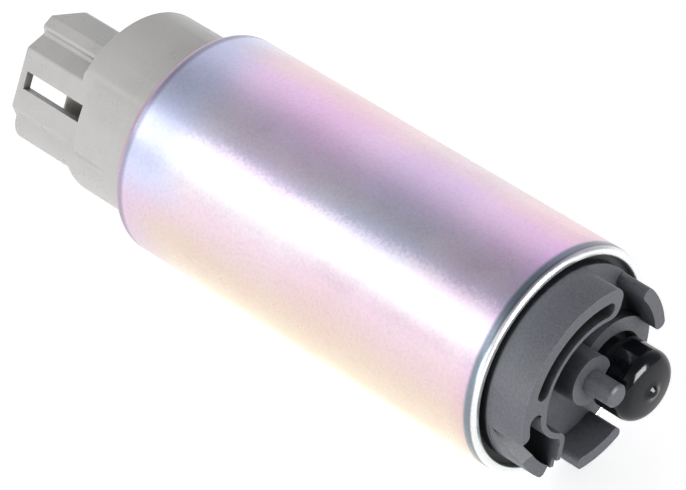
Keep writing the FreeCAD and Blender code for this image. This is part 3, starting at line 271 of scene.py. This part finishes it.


# Plated steel of the can

# Colours of the plating's film, by share of a turn from +Y over the top. The near-white stops from 0.362 to
# 0.415 are a painted highlight band where the left softbox reflects, and the darker stops at 0.32 and 0.345 a
# painted dark reflection band beside it.
FILM_WITH_PAINTED_BANDS = (
    (0.00, (0.82, 0.73, 0.67)),
    (0.12, (0.80, 0.66, 0.61)),
    (0.165, (0.85, 0.67, 0.70)),
    (0.20, (0.96, 0.73, 0.83)),
    (0.23, (0.96, 0.70, 0.97)),
    (0.275, (0.94, 0.72, 1.00)),
    (0.30, (0.86, 0.75, 0.95)),
    (0.32, (0.78, 0.72, 0.83)),
    (0.345, (0.70, 0.68, 0.84)),
    (0.362, (0.94, 0.85, 0.99)),
    (0.39, (0.95, 0.93, 0.97)),
    (0.415, (0.94, 0.92, 0.96)),
    (0.445, (0.81, 0.66, 0.74)),
    (0.475, (0.79, 0.63, 0.65)),
    (0.51, (0.78, 0.64, 0.56)),
    (0.56, (0.80, 0.70, 0.58)),
    (0.64, (0.90, 0.86, 0.66)),
    (0.74, (0.72, 0.80, 0.82)),
    (0.84, (0.80, 0.72, 0.86)),
    (0.93, (0.90, 0.76, 0.76)),
    (1.00, (0.90, 0.80, 0.74)),
)

# Lines on the rolled ends: where each begins and is full along X, its strength and its colour
END_LINES = (
    (37.6 * MM, 38.0 * MM, 0.90, (0.88, 0.93, 0.92, 1)),
    (-36.2 * MM, -37.0 * MM, 0.70, (0.30, 0.27, 0.37, 1)),
    (-37.3 * MM, -37.8 * MM, 0.90, (0.62, 0.40, 0.50, 1)),
)


def film_turn(tree, place, parts):
    """Share of a turn round the can, unsteady as the film is and stippled on its upper flank."""
    angle = calc(tree, "ARCTAN2", parts["Z"], parts["Y"])
    drift = sway(tree, 0.09, noise(tree, place, 38, 3, 0.55, (0.5, 1, 1)))
    flank = times(tree, fade(tree, angle, 1.6, 2.1), fade(tree, angle, 2.62, 2.46, 0.008, 0.04))
    stipple = sway(tree, flank, noise(tree, place, 2000, 1, 0.5))
    share = calc(tree, "DIVIDE", angle, FULL_TURN)
    return calc(tree, "FRACT", plus(tree, share, plus(tree, drift, stipple), 1.0))


def film_patches(tree, place, parts, around, warp, colour):
    """Blue and pink stretches along the upper side, and slow patches all over."""
    wave_length = 47.0 * MM
    wave = calc(tree, "COSINE", plus(tree, times(tree, parts["X"], FULL_TURN / wave_length),
                                     calc(tree, "SUBTRACT", warp, 1.45)))
    upper = fade(tree, around, 0.44, 0.38)
    blue = times(tree, fade(tree, wave, 0.0, 1.0, 0.0, 0.5), upper)
    pink = times(tree, fade(tree, wave, 0.2, -1.0, 0.0, 0.45), upper)
    patch = fade(tree, noise(tree, place, 40, 2, 0.5, (0.8, 1, 1)), 0.46, 0.68, 0.0, 0.35)
    colour = tint(tree, blue, colour, (0.84, 0.94, 1.0, 1), "MULTIPLY")
    colour = tint(tree, pink, colour, (1.0, 0.86, 0.95, 1), "MULTIPLY")
    return tint(tree, patch, colour, (0.96, 0.84, 0.90, 1), "MULTIPLY")


def film_ends(tree, parts, around, warp, colour):
    """Cool rear end, lilac front end, and the lines on both rolled ends."""
    lean = plus(tree, parts["X"], times(tree, fade(tree, around, 0.17, 0.30), -5.5 * MM),
                times(tree, fade(tree, around, 0.45, 0.53), 5.0 * MM), times(tree, warp, 6.0 * MM))
    rear = fade(tree, lean, -27.5 * MM, -38.5 * MM, 0.0, 0.92)
    chill = tint(tree, fade(tree, around, 0.43, 0.50), (0.64, 0.69, 0.92, 1), (0.75, 0.59, 0.74, 1))
    colour = tint(tree, rear, colour, chill)
    front = fade(tree, parts["X"], 32.5 * MM, 37.2 * MM, 0.0, 0.7)
    colour = tint(tree, front, colour, (0.93, 0.86, 1.0, 1), "MULTIPLY")
    rim_start = fade(tree, parts["X"], 36.0 * MM, 36.8 * MM)
    rim_end = fade(tree, parts["X"], 37.9 * MM, 37.6 * MM)
    colour = tint(tree, times(tree, rim_start, rim_end, 0.9), colour, (0.17, 0.24, 0.28, 1))
    for begins, full, strength, line in END_LINES:
        colour = tint(tree, fade(tree, parts["X"], begins, full, 0.0, strength), colour, line)
    return colour


def plated_steel():
    """Satin drawn steel under an iridescent zinc plating."""
    material, tree, shader = new_material("plated_steel")
    place = own_place(tree)
    parts = add(tree, "SeparateXYZ", {"Vector": place}).outputs
    around = film_turn(tree, place, parts)
    warp = sway(tree, 0.9, noise(tree, place, 60, 2, 0.5))
    # The film's colours hold a painted highlight band and a painted dark reflection band.
    colour = film_patches(tree, place, parts, around, warp, bands(tree, around, FILM_WITH_PAINTED_BANDS))
    colour = film_ends(tree, parts, around, warp, colour)
    grain = fade(tree, noise(tree, place, 1900, 1, 0.5), 0.35, 0.75, 0.0, 0.16)
    colour = tint(tree, grain, colour, (0.55, 0.52, 0.60, 1), "MULTIPLY")
    wire(tree, shader.inputs["Base Color"], colour)
    shader.inputs["Metallic"].default_value = 1.0
    cloud = noise(tree, place, 150, 4, 0.6)
    wire(tree, shader.inputs["Roughness"], fade(tree, cloud, 0.25, 0.75, 0.26, 0.34))
    marks = effect(tree, "marks", pitch_scale=700.0)
    height = plus(tree, times(tree, cloud, 0.7), times(tree, marks["Height"], 0.3))
    wire(tree, shader.inputs["Normal"], bump(tree, height, 0.12, 0.04 * MM))
    return material


# Other materials


def moulded(name, colour, roughness, edge_wear_and_gleam, shade=0.8, grain=6000.0, depth=0.03 * MM, edge=0.3 * MM,
            speckle=0.2, recess_shade=0.45, recess_shade_reach=4.0 * MM):
    """Moulded plastic with its mould's grain, slow unevenness, lighter rubbed edges (partly a painted edge
    highlight on the dark moulding) and painted shade darkening its recesses.
    """
    material, tree, shader = new_material(name)
    texture = effect(tree, "grain", grain_scale=grain)
    wear = effect(tree, "wear", radius=edge, amount=0.6)["Mask"]
    dust = effect(tree, "dust", amount=0.25)["Mask"]
    painted_recess_mask = effect(tree, "hollows", depth=recess_shade_reach, amount=recess_shade)["Mask"]
    base = tint(tree, fade(tree, texture["Mottle"], 0.3, 0.7), scaled(colour, shade), (*colour, 1))
    base = tint(tree, times(tree, texture["Speckle"], speckle), base, scaled(colour, 1.3))
    base = tint(tree, wear, base, (*edge_wear_and_gleam, 1))
    base = tint(tree, dust, base, (0.60, 0.58, 0.55, 1))
    # Painted shade: recesses and inner corners darken towards 0.12 of the colour.
    base = tint(tree, painted_recess_mask, base, scaled(colour, 0.12))
    wire(tree, shader.inputs["Base Color"], base)
    uneven = fade(tree, texture["Mottle"], 0.3, 0.7, roughness - 0.05, roughness + 0.06)
    wire(tree, shader.inputs["Roughness"], plus(tree, uneven, times(tree, wear, -0.08)))
    wire(tree, shader.inputs["Normal"], bump(tree, texture["Height"], 0.35, depth))
    return material


def dark_moulding():
    """Dark moulding of the inlet cover, with painted shade: near-black in the gap under the can's lip."""
    # Its lighter rubbed edges are partly wear and partly a painted edge highlight.
    material = moulded("dark_moulding", (0.142, 0.150, 0.170), 0.42, (0.27, 0.28, 0.30), shade=0.84,
                       grain=2500.0, depth=0.06 * MM, edge=0.4 * MM, speckle=0.5, recess_shade=0.95,
                       recess_shade_reach=9.0 * MM)
    tree = material.node_tree
    shader = tree.nodes["Principled BSDF"]
    shader.inputs["IOR"].default_value = 1.45
    parts = add(tree, "SeparateXYZ", {"Vector": own_place(tree)}).outputs
    reach = calc(tree, "SQRT", plus(tree, times(tree, parts["Y"], parts["Y"]),
                                    times(tree, parts["Z"], parts["Z"])))
    # Painted shade: the ring outside the cover and below the can's lip is made near-black where the gap lies
    # in shadow.
    outside_cover = fade(tree, reach, 16.25 * MM, 16.35 * MM)
    below_lip = fade(tree, parts["X"], CAN_HIGH.x + 0.4 * MM, CAN_HIGH.x - 0.1 * MM)
    plastic = shader.inputs["Base Color"].links[0].from_socket
    painted_gap_shade = tint(tree, times(tree, outside_cover, below_lip), plastic, (0.010, 0.010, 0.012, 1))
    wire(tree, shader.inputs["Base Color"], painted_gap_shade)
    return material


def machined(name, colour, roughness, grain=4000.0):
    """Turned, drawn or ground metal with faint rings and streaks."""
    material, tree, shader = new_material(name)
    marks = effect(tree, "marks", pitch_scale=grain)
    wear = effect(tree, "wear", radius=0.2 * MM, amount=0.5)["Mask"]
    streaks = marks["Streaks"]
    base = tint(tree, fade(tree, streaks, 0.3, 0.7), scaled(colour, 0.72), (*colour, 1))
    base = tint(tree, wear, base, scaled(colour, 1.18))
    wire(tree, shader.inputs["Base Color"], base)
    shader.inputs["Metallic"].default_value = 1.0
    wire(tree, shader.inputs["Roughness"], fade(tree, streaks, 0.3, 0.7, roughness, roughness + 0.12))
    wire(tree, shader.inputs["Normal"], bump(tree, marks["Height"], 0.25, 0.02 * MM))
    return material


def grainy(name, colour, speck, roughness, scale, metallic=0.0):
    """Pressed, cast or sintered stuff, with grains of a second colour."""
    material, tree, shader = new_material(name)
    place = own_place(tree)
    grains = noise(tree, place, scale, 4, 0.7)
    solid = fade(tree, noise(tree, place, scale * 2.3, 2, 0.5), 0.30, 0.42)
    wear = effect(tree, "wear", radius=0.3 * MM, amount=0.5)["Mask"]
    base = tint(tree, fade(tree, grains, 0.42, 0.66), (*colour, 1), (*speck, 1))
    base = tint(tree, calc(tree, "SUBTRACT", 1.0, solid), base, scaled(colour, 0.4))
    base = tint(tree, wear, base, (*speck, 1))
    wire(tree, shader.inputs["Base Color"], base)
    shader.inputs["Metallic"].default_value = metallic
    wire(tree, shader.inputs["Roughness"], fade(tree, grains, 0.3, 0.7, roughness - 0.08, roughness + 0.1))
    wire(tree, shader.inputs["Normal"], bump(tree, grains, 0.4, 0.06 * MM))
    return material


def soft_cap():
    """Glossy black vinyl of the transport cap."""
    material, tree, shader = new_material("soft_cap")
    texture = effect(tree, "grain", grain_scale=2600.0, flow_scale=210.0)
    dust = effect(tree, "dust", amount=0.5)["Mask"]
    mottle = fade(tree, texture["Mottle"], 0.3, 0.7)
    base = tint(tree, mottle, (0.004, 0.005, 0.008, 1), (0.008, 0.009, 0.013, 1))
    base = tint(tree, dust, base, (0.20, 0.20, 0.20, 1))
    wire(tree, shader.inputs["Base Color"], base)
    shader.inputs["IOR"].default_value = 1.46
    shader.inputs["Specular IOR Level"].default_value = 0.32
    wire(tree, shader.inputs["Roughness"], fade(tree, texture["Mottle"], 0.3, 0.7, 0.10, 0.15))
    wire(tree, shader.inputs["Normal"], bump(tree, texture["Height"], 0.18, 0.06 * MM))
    return material


def wound_copper():
    """Lacquered copper wire, turn beside turn."""
    material, tree, shader = new_material("wound_copper")
    place = own_place(tree)
    turns = add(tree, "TexWave", {"Vector": place, "Scale": 620.0, "Distortion": 0.6, "Detail": 1.0,
                                  "Detail Scale": 0.5}, wave_type="BANDS", bands_direction="DIAGONAL")
    shade = noise(tree, place, 400, 3, 0.6)
    base = tint(tree, fade(tree, shade, 0.3, 0.7), (0.62, 0.22, 0.10, 1), (0.86, 0.40, 0.20, 1))
    base = tint(tree, fade(tree, turns.outputs["Fac"], 0.35, 0.05), base, (0.16, 0.05, 0.02, 1))
    wire(tree, shader.inputs["Base Color"], base)
    shader.inputs["Metallic"].default_value = 0.9
    wire(tree, shader.inputs["Roughness"], fade(tree, shade, 0.3, 0.7, 0.26, 0.40))
    wire(tree, shader.inputs["Normal"], bump(tree, turns.outputs["Fac"], 0.6, 0.2 * MM))
    return material


MATERIALS = {
    "can_steel": plated_steel(),
    "dark_plastic": dark_moulding(),
    "grey_plastic": moulded("light_grey_moulding", (0.57, 0.56, 0.545), 0.30, (0.66, 0.65, 0.63), shade=0.93,
                            grain=3200.0, speckle=0.12, recess_shade=0.95, recess_shade_reach=12.0 * MM),
    "cap_plastic": soft_cap(),
    "cast_aluminium": grainy("cast_aluminium", (0.58, 0.59, 0.60), (0.74, 0.75, 0.76), 0.42, 1600,
                             metallic=1.0),
    "phenolic": grainy("phenolic", (0.075, 0.050, 0.035), (0.15, 0.10, 0.07), 0.50, 2200),
    "sintered_bronze": grainy("sintered_bronze", (0.48, 0.30, 0.14), (0.72, 0.50, 0.26), 0.45, 3200,
                              metallic=1.0),
    "hard_steel": machined("ground_steel", (0.66, 0.67, 0.69), 0.20),
    "soft_steel": machined("rolled_steel", (0.42, 0.43, 0.44), 0.38),
    "ferrite": grainy("ferrite", (0.045, 0.045, 0.048), (0.10, 0.10, 0.105), 0.60, 1800),
    "core_steel": machined("core_sheets", (0.36, 0.36, 0.37), 0.34, grain=16000.0),
    "insulator_plastic": moulded("insulator_plastic", (0.30, 0.05, 0.04), 0.40, (0.42, 0.12, 0.10)),
    "copper": wound_copper(),
    "carbon": grainy("carbon", (0.035, 0.035, 0.036), (0.11, 0.11, 0.11), 0.46, 3000),
    "spring_steel": machined("spring_steel", (0.55, 0.56, 0.58), 0.26),
    "black_rubber": moulded("black_rubber", (0.022, 0.022, 0.022), 0.62, (0.06, 0.06, 0.06)),
    "tinned_brass": machined("tinned_brass", (0.70, 0.69, 0.64), 0.28),
    "valve_plastic": moulded("valve_plastic", (0.66, 0.64, 0.58), 0.36, (0.74, 0.72, 0.66)),
}

# Pieces


def dress(piece, material):
    """Give a piece its material in every slot."""
    if not piece.material_slots:
        piece.data.materials.append(material)
    for place in piece.material_slots:
        place.material = material


def link_mesh(name, shape):
    """A piece from mesh work, smooth where its faces meet softly."""
    sharp_angle = math.radians(40)
    mesh = bpy.data.meshes.new(name)
    bmesh.ops.recalc_face_normals(shape, faces=shape.faces)
    shape.to_mesh(mesh)
    shape.free()
    mesh.shade_smooth()
    mesh.set_sharp_from_angle(angle=sharp_angle)
    piece = bpy.data.objects.new(name, mesh)
    bpy.context.scene.collection.objects.link(piece)
    return piece


def spin(name, profile, steps, axis_y=0.0, axis_z=0.0):
    """A closed piece turned about an axis along X. The profile's points are (x, radius)."""
    least_radius = 1e-7
    shape = bmesh.new()
    rings = []
    for x, radius in profile:
        if radius < least_radius:
            rings.append([shape.verts.new((x, axis_y, axis_z))])
            continue
        rings.append([shape.verts.new((x, axis_y + radius * math.cos(FULL_TURN * k / steps),
                                       axis_z + radius * math.sin(FULL_TURN * k / steps)))
                      for k in range(steps)])
    closed = len(rings[0]) > 1 and len(rings[-1]) > 1
    for near, far in zip(rings, rings[1:] + (rings[:1] if closed else [])):
        for k in range(steps):
            after = (k + 1) % steps
            corners = [near[k % len(near)], near[after % len(near)], far[after % len(far)], far[k % len(far)]]
            shape.faces.new(list(dict.fromkeys(corners)))
    return link_mesh(name, shape)


def bend(centre_x, centre_radius, size, start, end, steps):
    """Points of an arc in a profile, from one angle to another. Angle 0 is towards +X, 90 outwards."""
    angles = [math.radians(start + (end - start) * k / steps) for k in range(steps + 1)]
    return [(centre_x + size * math.cos(angle), centre_radius + size * math.sin(angle)) for angle in angles]


def make_can():
    """The drawn can with its two rolled ends."""
    end = CAN_HIGH.x
    outside = CAN_RADIUS
    wall = 1.1 * MM
    lip = CAN_RADIUS - 1.5 * MM
    roll = 1.4 * MM
    lead_in = 0.9 * MM
    shoulder = 1.1 * MM
    shoulder_share = 0.72
    edge = 0.35 * MM
    ring_reach = 34
    ring_gap = 4
    round_shoulder = bend(end - shoulder, outside - shoulder, shoulder, 90, 0, steps=14)
    front = (
        [(end - shoulder - lead_in, outside)]
        + [(x, outside - shoulder_share * (outside - radius)) for x, radius in round_shoulder]
        + bend(end - edge, lip + edge, edge, 0, -90, steps=6)
        + [(end - roll, lip), (end - roll, outside - wall)]
    )
    rear = [(-x, radius) for x, radius in reversed(front)]
    body = [(x * MM, outside) for x in range(-ring_reach, ring_reach + 1, ring_gap)]
    can = spin("can", rear + body + front, steps=320)
    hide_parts("housing_can")
    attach(can, "pump")
    dress(can, MATERIALS["can_steel"])


# Half outline of the drip on the cap's nose, in millimetres back from its tip and out from its axis
DRIP = ((0.0, 0.0), (0.05, 0.36), (0.15, 0.62), (0.29, 0.82), (0.44, 0.98), (0.58, 1.18), (0.69, 1.45),
        (0.765, 1.75), (0.81, 2.0))


def make_cap():
    """The soft cap with its rounded shoulder, domed nose and the drip left on it by dipping."""
    low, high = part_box("inlet_cap")
    axis_y = (low.y + high.y) / 2
    axis_z = (low.z + high.z) / 2
    outside = (high.y - low.y) / 2
    tip = high.x
    shoulder = 2.2 * MM
    crown = 22.0 * MM
    wall = 1.52 * MM
    foot = 0.25 * MM
    dome = tip - 0.72 * MM
    nose_start = 2.15 * MM
    cavity_end = tip - 2.1 * MM
    reach = math.sqrt((crown - shoulder) ** 2 - (outside - shoulder) ** 2)
    turn = math.degrees(math.atan2(outside - shoulder, reach))
    shoulder_x = dome - crown + reach
    skirt_start = shoulder_x - 1.0 * MM
    skirt_end = low.x + 1.2 * MM
    drop = [(tip - back * MM, radius * MM) for back, radius in DRIP]
    crown_arc = bend(dome - crown, 0.0, crown, 0, turn, steps=24)
    nose = [(x, radius) for x, radius in crown_arc if radius > nose_start]
    round_edge = bend(shoulder_x, outside - shoulder, shoulder, turn, 90, steps=18)
    skirt = [(skirt_start, outside), (skirt_end, outside)]
    base = bend(low.x + foot, outside - foot, foot, 90, 180, steps=5) + [(low.x, outside - wall + foot)]
    inner = [(low.x + foot, outside - wall), (cavity_end, outside - wall), (cavity_end, 0.0)]
    outline = drop + nose + round_edge + skirt + base + inner
    cap = spin("cap_skin", outline, steps=192, axis_y=axis_y, axis_z=axis_z)
    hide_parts("inlet_cap")
    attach(cap, "cap")
    dress(cap, MATERIALS["cap_plastic"])


def coil_path(low, high, wire_radius, turns, steps):
    """Middle points of a spring's wire between two corners, each with its way outwards from the axis."""
    axis_y = (low.y + high.y) / 2
    axis_z = (low.z + high.z) / 2
    reach = (high.y - low.y) / 2 - wire_radius
    length = high.x - low.x - 2 * wire_radius
    clearance = 1.02
    closed_pitch = 2 * wire_radius * clearance / length
    path = []
    for k in range(steps + 1):
        done = turns * k / steps
        if done < 1:
            rise = closed_pitch * done
        elif done > turns - 1:
            rise = 1 - closed_pitch * (turns - done)
        else:
            rise = closed_pitch + (1 - 2 * closed_pitch) * (done - 1) / (turns - 2)
        out = Vector((0, math.cos(FULL_TURN * done), math.sin(FULL_TURN * done)))
        path.append((Vector((low.x + wire_radius + length * rise, axis_y, axis_z)) + reach * out, out))
    return path


def coil_spring(node, turns):
    """A wound spring with closed ends in a node's space."""
    low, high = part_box(node)
    wire_radius = 0.175 * MM
    corners = 8
    steps_per_turn = 28
    along = Vector((1, 0, 0))
    shape = bmesh.new()
    rings = []
    for middle, out in coil_path(low, high, wire_radius, turns, steps_per_turn * turns):
        ring = []
        for c in range(corners):
            angle = FULL_TURN * c / corners
            surface = wire_radius * (math.cos(angle) * out + math.sin(angle) * along)
            ring.append(shape.verts.new(middle + surface))
        rings.append(ring)
    for near, far in zip(rings, rings[1:]):
        for c in range(corners):
            after = (c + 1) % corners
            shape.faces.new((near[c], near[after], far[after], far[c]))
    shape.faces.new(rings[0])
    shape.faces.new(list(reversed(rings[-1])))
    coil = link_mesh(node + "_coil", shape)
    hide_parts(node)
    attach(coil, "pump")
    dress(coil, MATERIALS["spring_steel"])
    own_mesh(coil)


def soften(name, width):
    """Round a node's sharp edges slightly, as its mould leaves them."""
    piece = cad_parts[name]
    weld = piece.modifiers.new("joined corners", "WELD")
    weld.merge_threshold = 0.002 * MM
    flat = piece.modifiers.new("whole flats", "DECIMATE")
    flat.decimate_type = "DISSOLVE"
    flat.angle_limit = math.radians(0.4)
    edges = piece.modifiers.new("rounded edges", "BEVEL")
    edges.width = width
    edges.segments = 3
    edges.limit_method = "ANGLE"
    edges.angle_limit = math.radians(28)
    edges.use_clamp_overlap = True
    edges.harden_normals = True


make_can()
make_cap()
coil_spring("brush_spring_right", 9)
coil_spring("brush_spring_left", 9)
coil_spring("check_valve_spring", 6)
coil_spring("relief_spring", 5)
for cad_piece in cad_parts.values():
    finish = cad_piece.material_slots[0].material.name.split(".")[0]
    dress(cad_piece, MATERIALS[finish])
bare_copper = machined("bare_copper", (0.80, 0.44, 0.28), 0.24)
dress(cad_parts["commutator_segments"], bare_copper)
soften("inlet_cover", 0.22 * MM)
soften("outlet_cover", 0.40 * MM)

# Studio


def make_floor():
    """Wide pale floor that the can rests on."""
    mesh = bpy.data.meshes.new("floor")
    shape = bmesh.new()
    bmesh.ops.create_circle(shape, cap_ends=True, segments=96, radius=4.0)
    shape.to_mesh(mesh)
    shape.free()
    floor = bpy.data.objects.new("floor", mesh)
    floor.location.z = REST_LEVEL
    bpy.context.scene.collection.objects.link(floor)
    material, tree, shader = new_material("floor_paper")
    shader.inputs["Base Color"].default_value = (0.90, 0.90, 0.90, 1)
    shader.inputs["Roughness"].default_value = 0.85
    shader.inputs["Specular IOR Level"].default_value = 0.1
    path = add(tree, "LightPath").outputs
    mirrored = calc(tree, "MAXIMUM", path["Is Glossy Ray"], path["Is Transmission Ray"])
    seen = calc(tree, "MAXIMUM", path["Is Camera Ray"], mirrored)
    glow = add(tree, "Emission", {"Color": WHITE, "Strength": times(tree, seen, 0.56)})
    both = add(tree, "AddShader")
    tree.links.new(shader.outputs[0], both.inputs[0])
    tree.links.new(glow.outputs[0], both.inputs[1])
    tree.links.new(both.outputs[0], tree.nodes["Material Output"].inputs[0])
    floor.data.materials.append(material)


# Greys of the studio's walls, by how far up one looks: 0 is level and 1 is straight up
WALLS = (
    (0.00, (0.92, 0.92, 0.92)),
    (0.40, (0.88, 0.88, 0.88)),
    (0.62, (0.80, 0.80, 0.81)),
    (0.75, (0.57, 0.57, 0.58)),
    (0.84, (0.34, 0.34, 0.35)),
    (0.92, (0.24, 0.24, 0.25)),
)


def make_world():
    """White studio walls that darken towards the ceiling and the far corner."""
    far_corner = (0.84, 0.42, 0.34)
    world = bpy.data.worlds.new("studio")
    bpy.context.scene.world = world
    world.use_nodes = True
    tree = world.node_tree
    tree.nodes.clear()
    direction = add(tree, "TexCoord").outputs["Generated"]
    height = add(tree, "SeparateXYZ", {"Vector": direction}).outputs["Z"]
    walls = bands(tree, height, WALLS)
    corner = add(tree, "VectorMath", operation="DOT_PRODUCT")
    wire(tree, corner.inputs[0], direction)
    corner.inputs[1].default_value = far_corner
    shade = fade(tree, corner.outputs["Value"], 0.05, 0.75, 0.0, 0.70)
    walls = tint(tree, shade, walls, (0.14, 0.14, 0.15, 1))
    path = add(tree, "LightPath").outputs
    colour = tint(tree, path["Is Camera Ray"], walls, WHITE)
    ground = add(tree, "Background", {"Color": colour, "Strength": 1.0})
    output = tree.nodes.new("ShaderNodeOutputWorld")
    tree.links.new(ground.outputs[0], output.inputs[0])


def softbox(name, direction, distance, width, height, power, gleam_only=False):
    """A square lamp that faces the pump. A gleam alone gives highlights and no light."""
    data = bpy.data.lights.new(name, "AREA")
    data.shape = "RECTANGLE"
    data.size = width
    data.size_y = height
    data.energy = power
    lamp = bpy.data.objects.new(name, data)
    place = Vector(direction).normalized() * distance
    lamp.location = place
    lamp.rotation_mode = "QUATERNION"
    lamp.rotation_quaternion = (-place).to_track_quat("-Z", "Y")
    lamp.visible_diffuse = not gleam_only
    bpy.context.scene.collection.objects.link(lamp)


def make_camera():
    """Long lens at the photograph's viewing angle."""
    place = Vector((0.3602, -0.3698, 0.4073))
    right = Vector((0.7094, 0.7048, 0.0)).normalized()
    forward = Vector((-0.5537, 0.5574, -0.6187)).normalized()
    data = bpy.data.cameras.new("camera")
    data.sensor_width = 36.0
    data.lens = 225.87
    camera = bpy.data.objects.new("camera", data)
    up = right.cross(forward).normalized()
    right = forward.cross(up)
    turn = Matrix((right, up, -forward)).transposed().to_4x4()
    camera.matrix_world = Matrix.Translation(place) @ turn
    bpy.context.scene.collection.objects.link(camera)
    bpy.context.scene.camera = camera


make_floor()
make_world()
softbox("left_softbox", (-0.58, -0.73, 0.48), distance=1.6, width=0.95, height=0.70, power=1.75)
RIGHT_SIDE = (0.93, 0.13, 0.33)
softbox("right_softbox", RIGHT_SIDE, distance=1.6, width=0.80, height=0.70, power=6.0)
softbox("right_gleam", RIGHT_SIDE, distance=1.58, width=0.95, height=0.85, power=48.0, gleam_only=True)
softbox("near_softbox", (0.00, -0.97, 0.16), distance=1.6, width=0.70, height=0.60, power=7.5)
make_camera()
bpy.context.scene.view_settings.view_transform = "Standard"
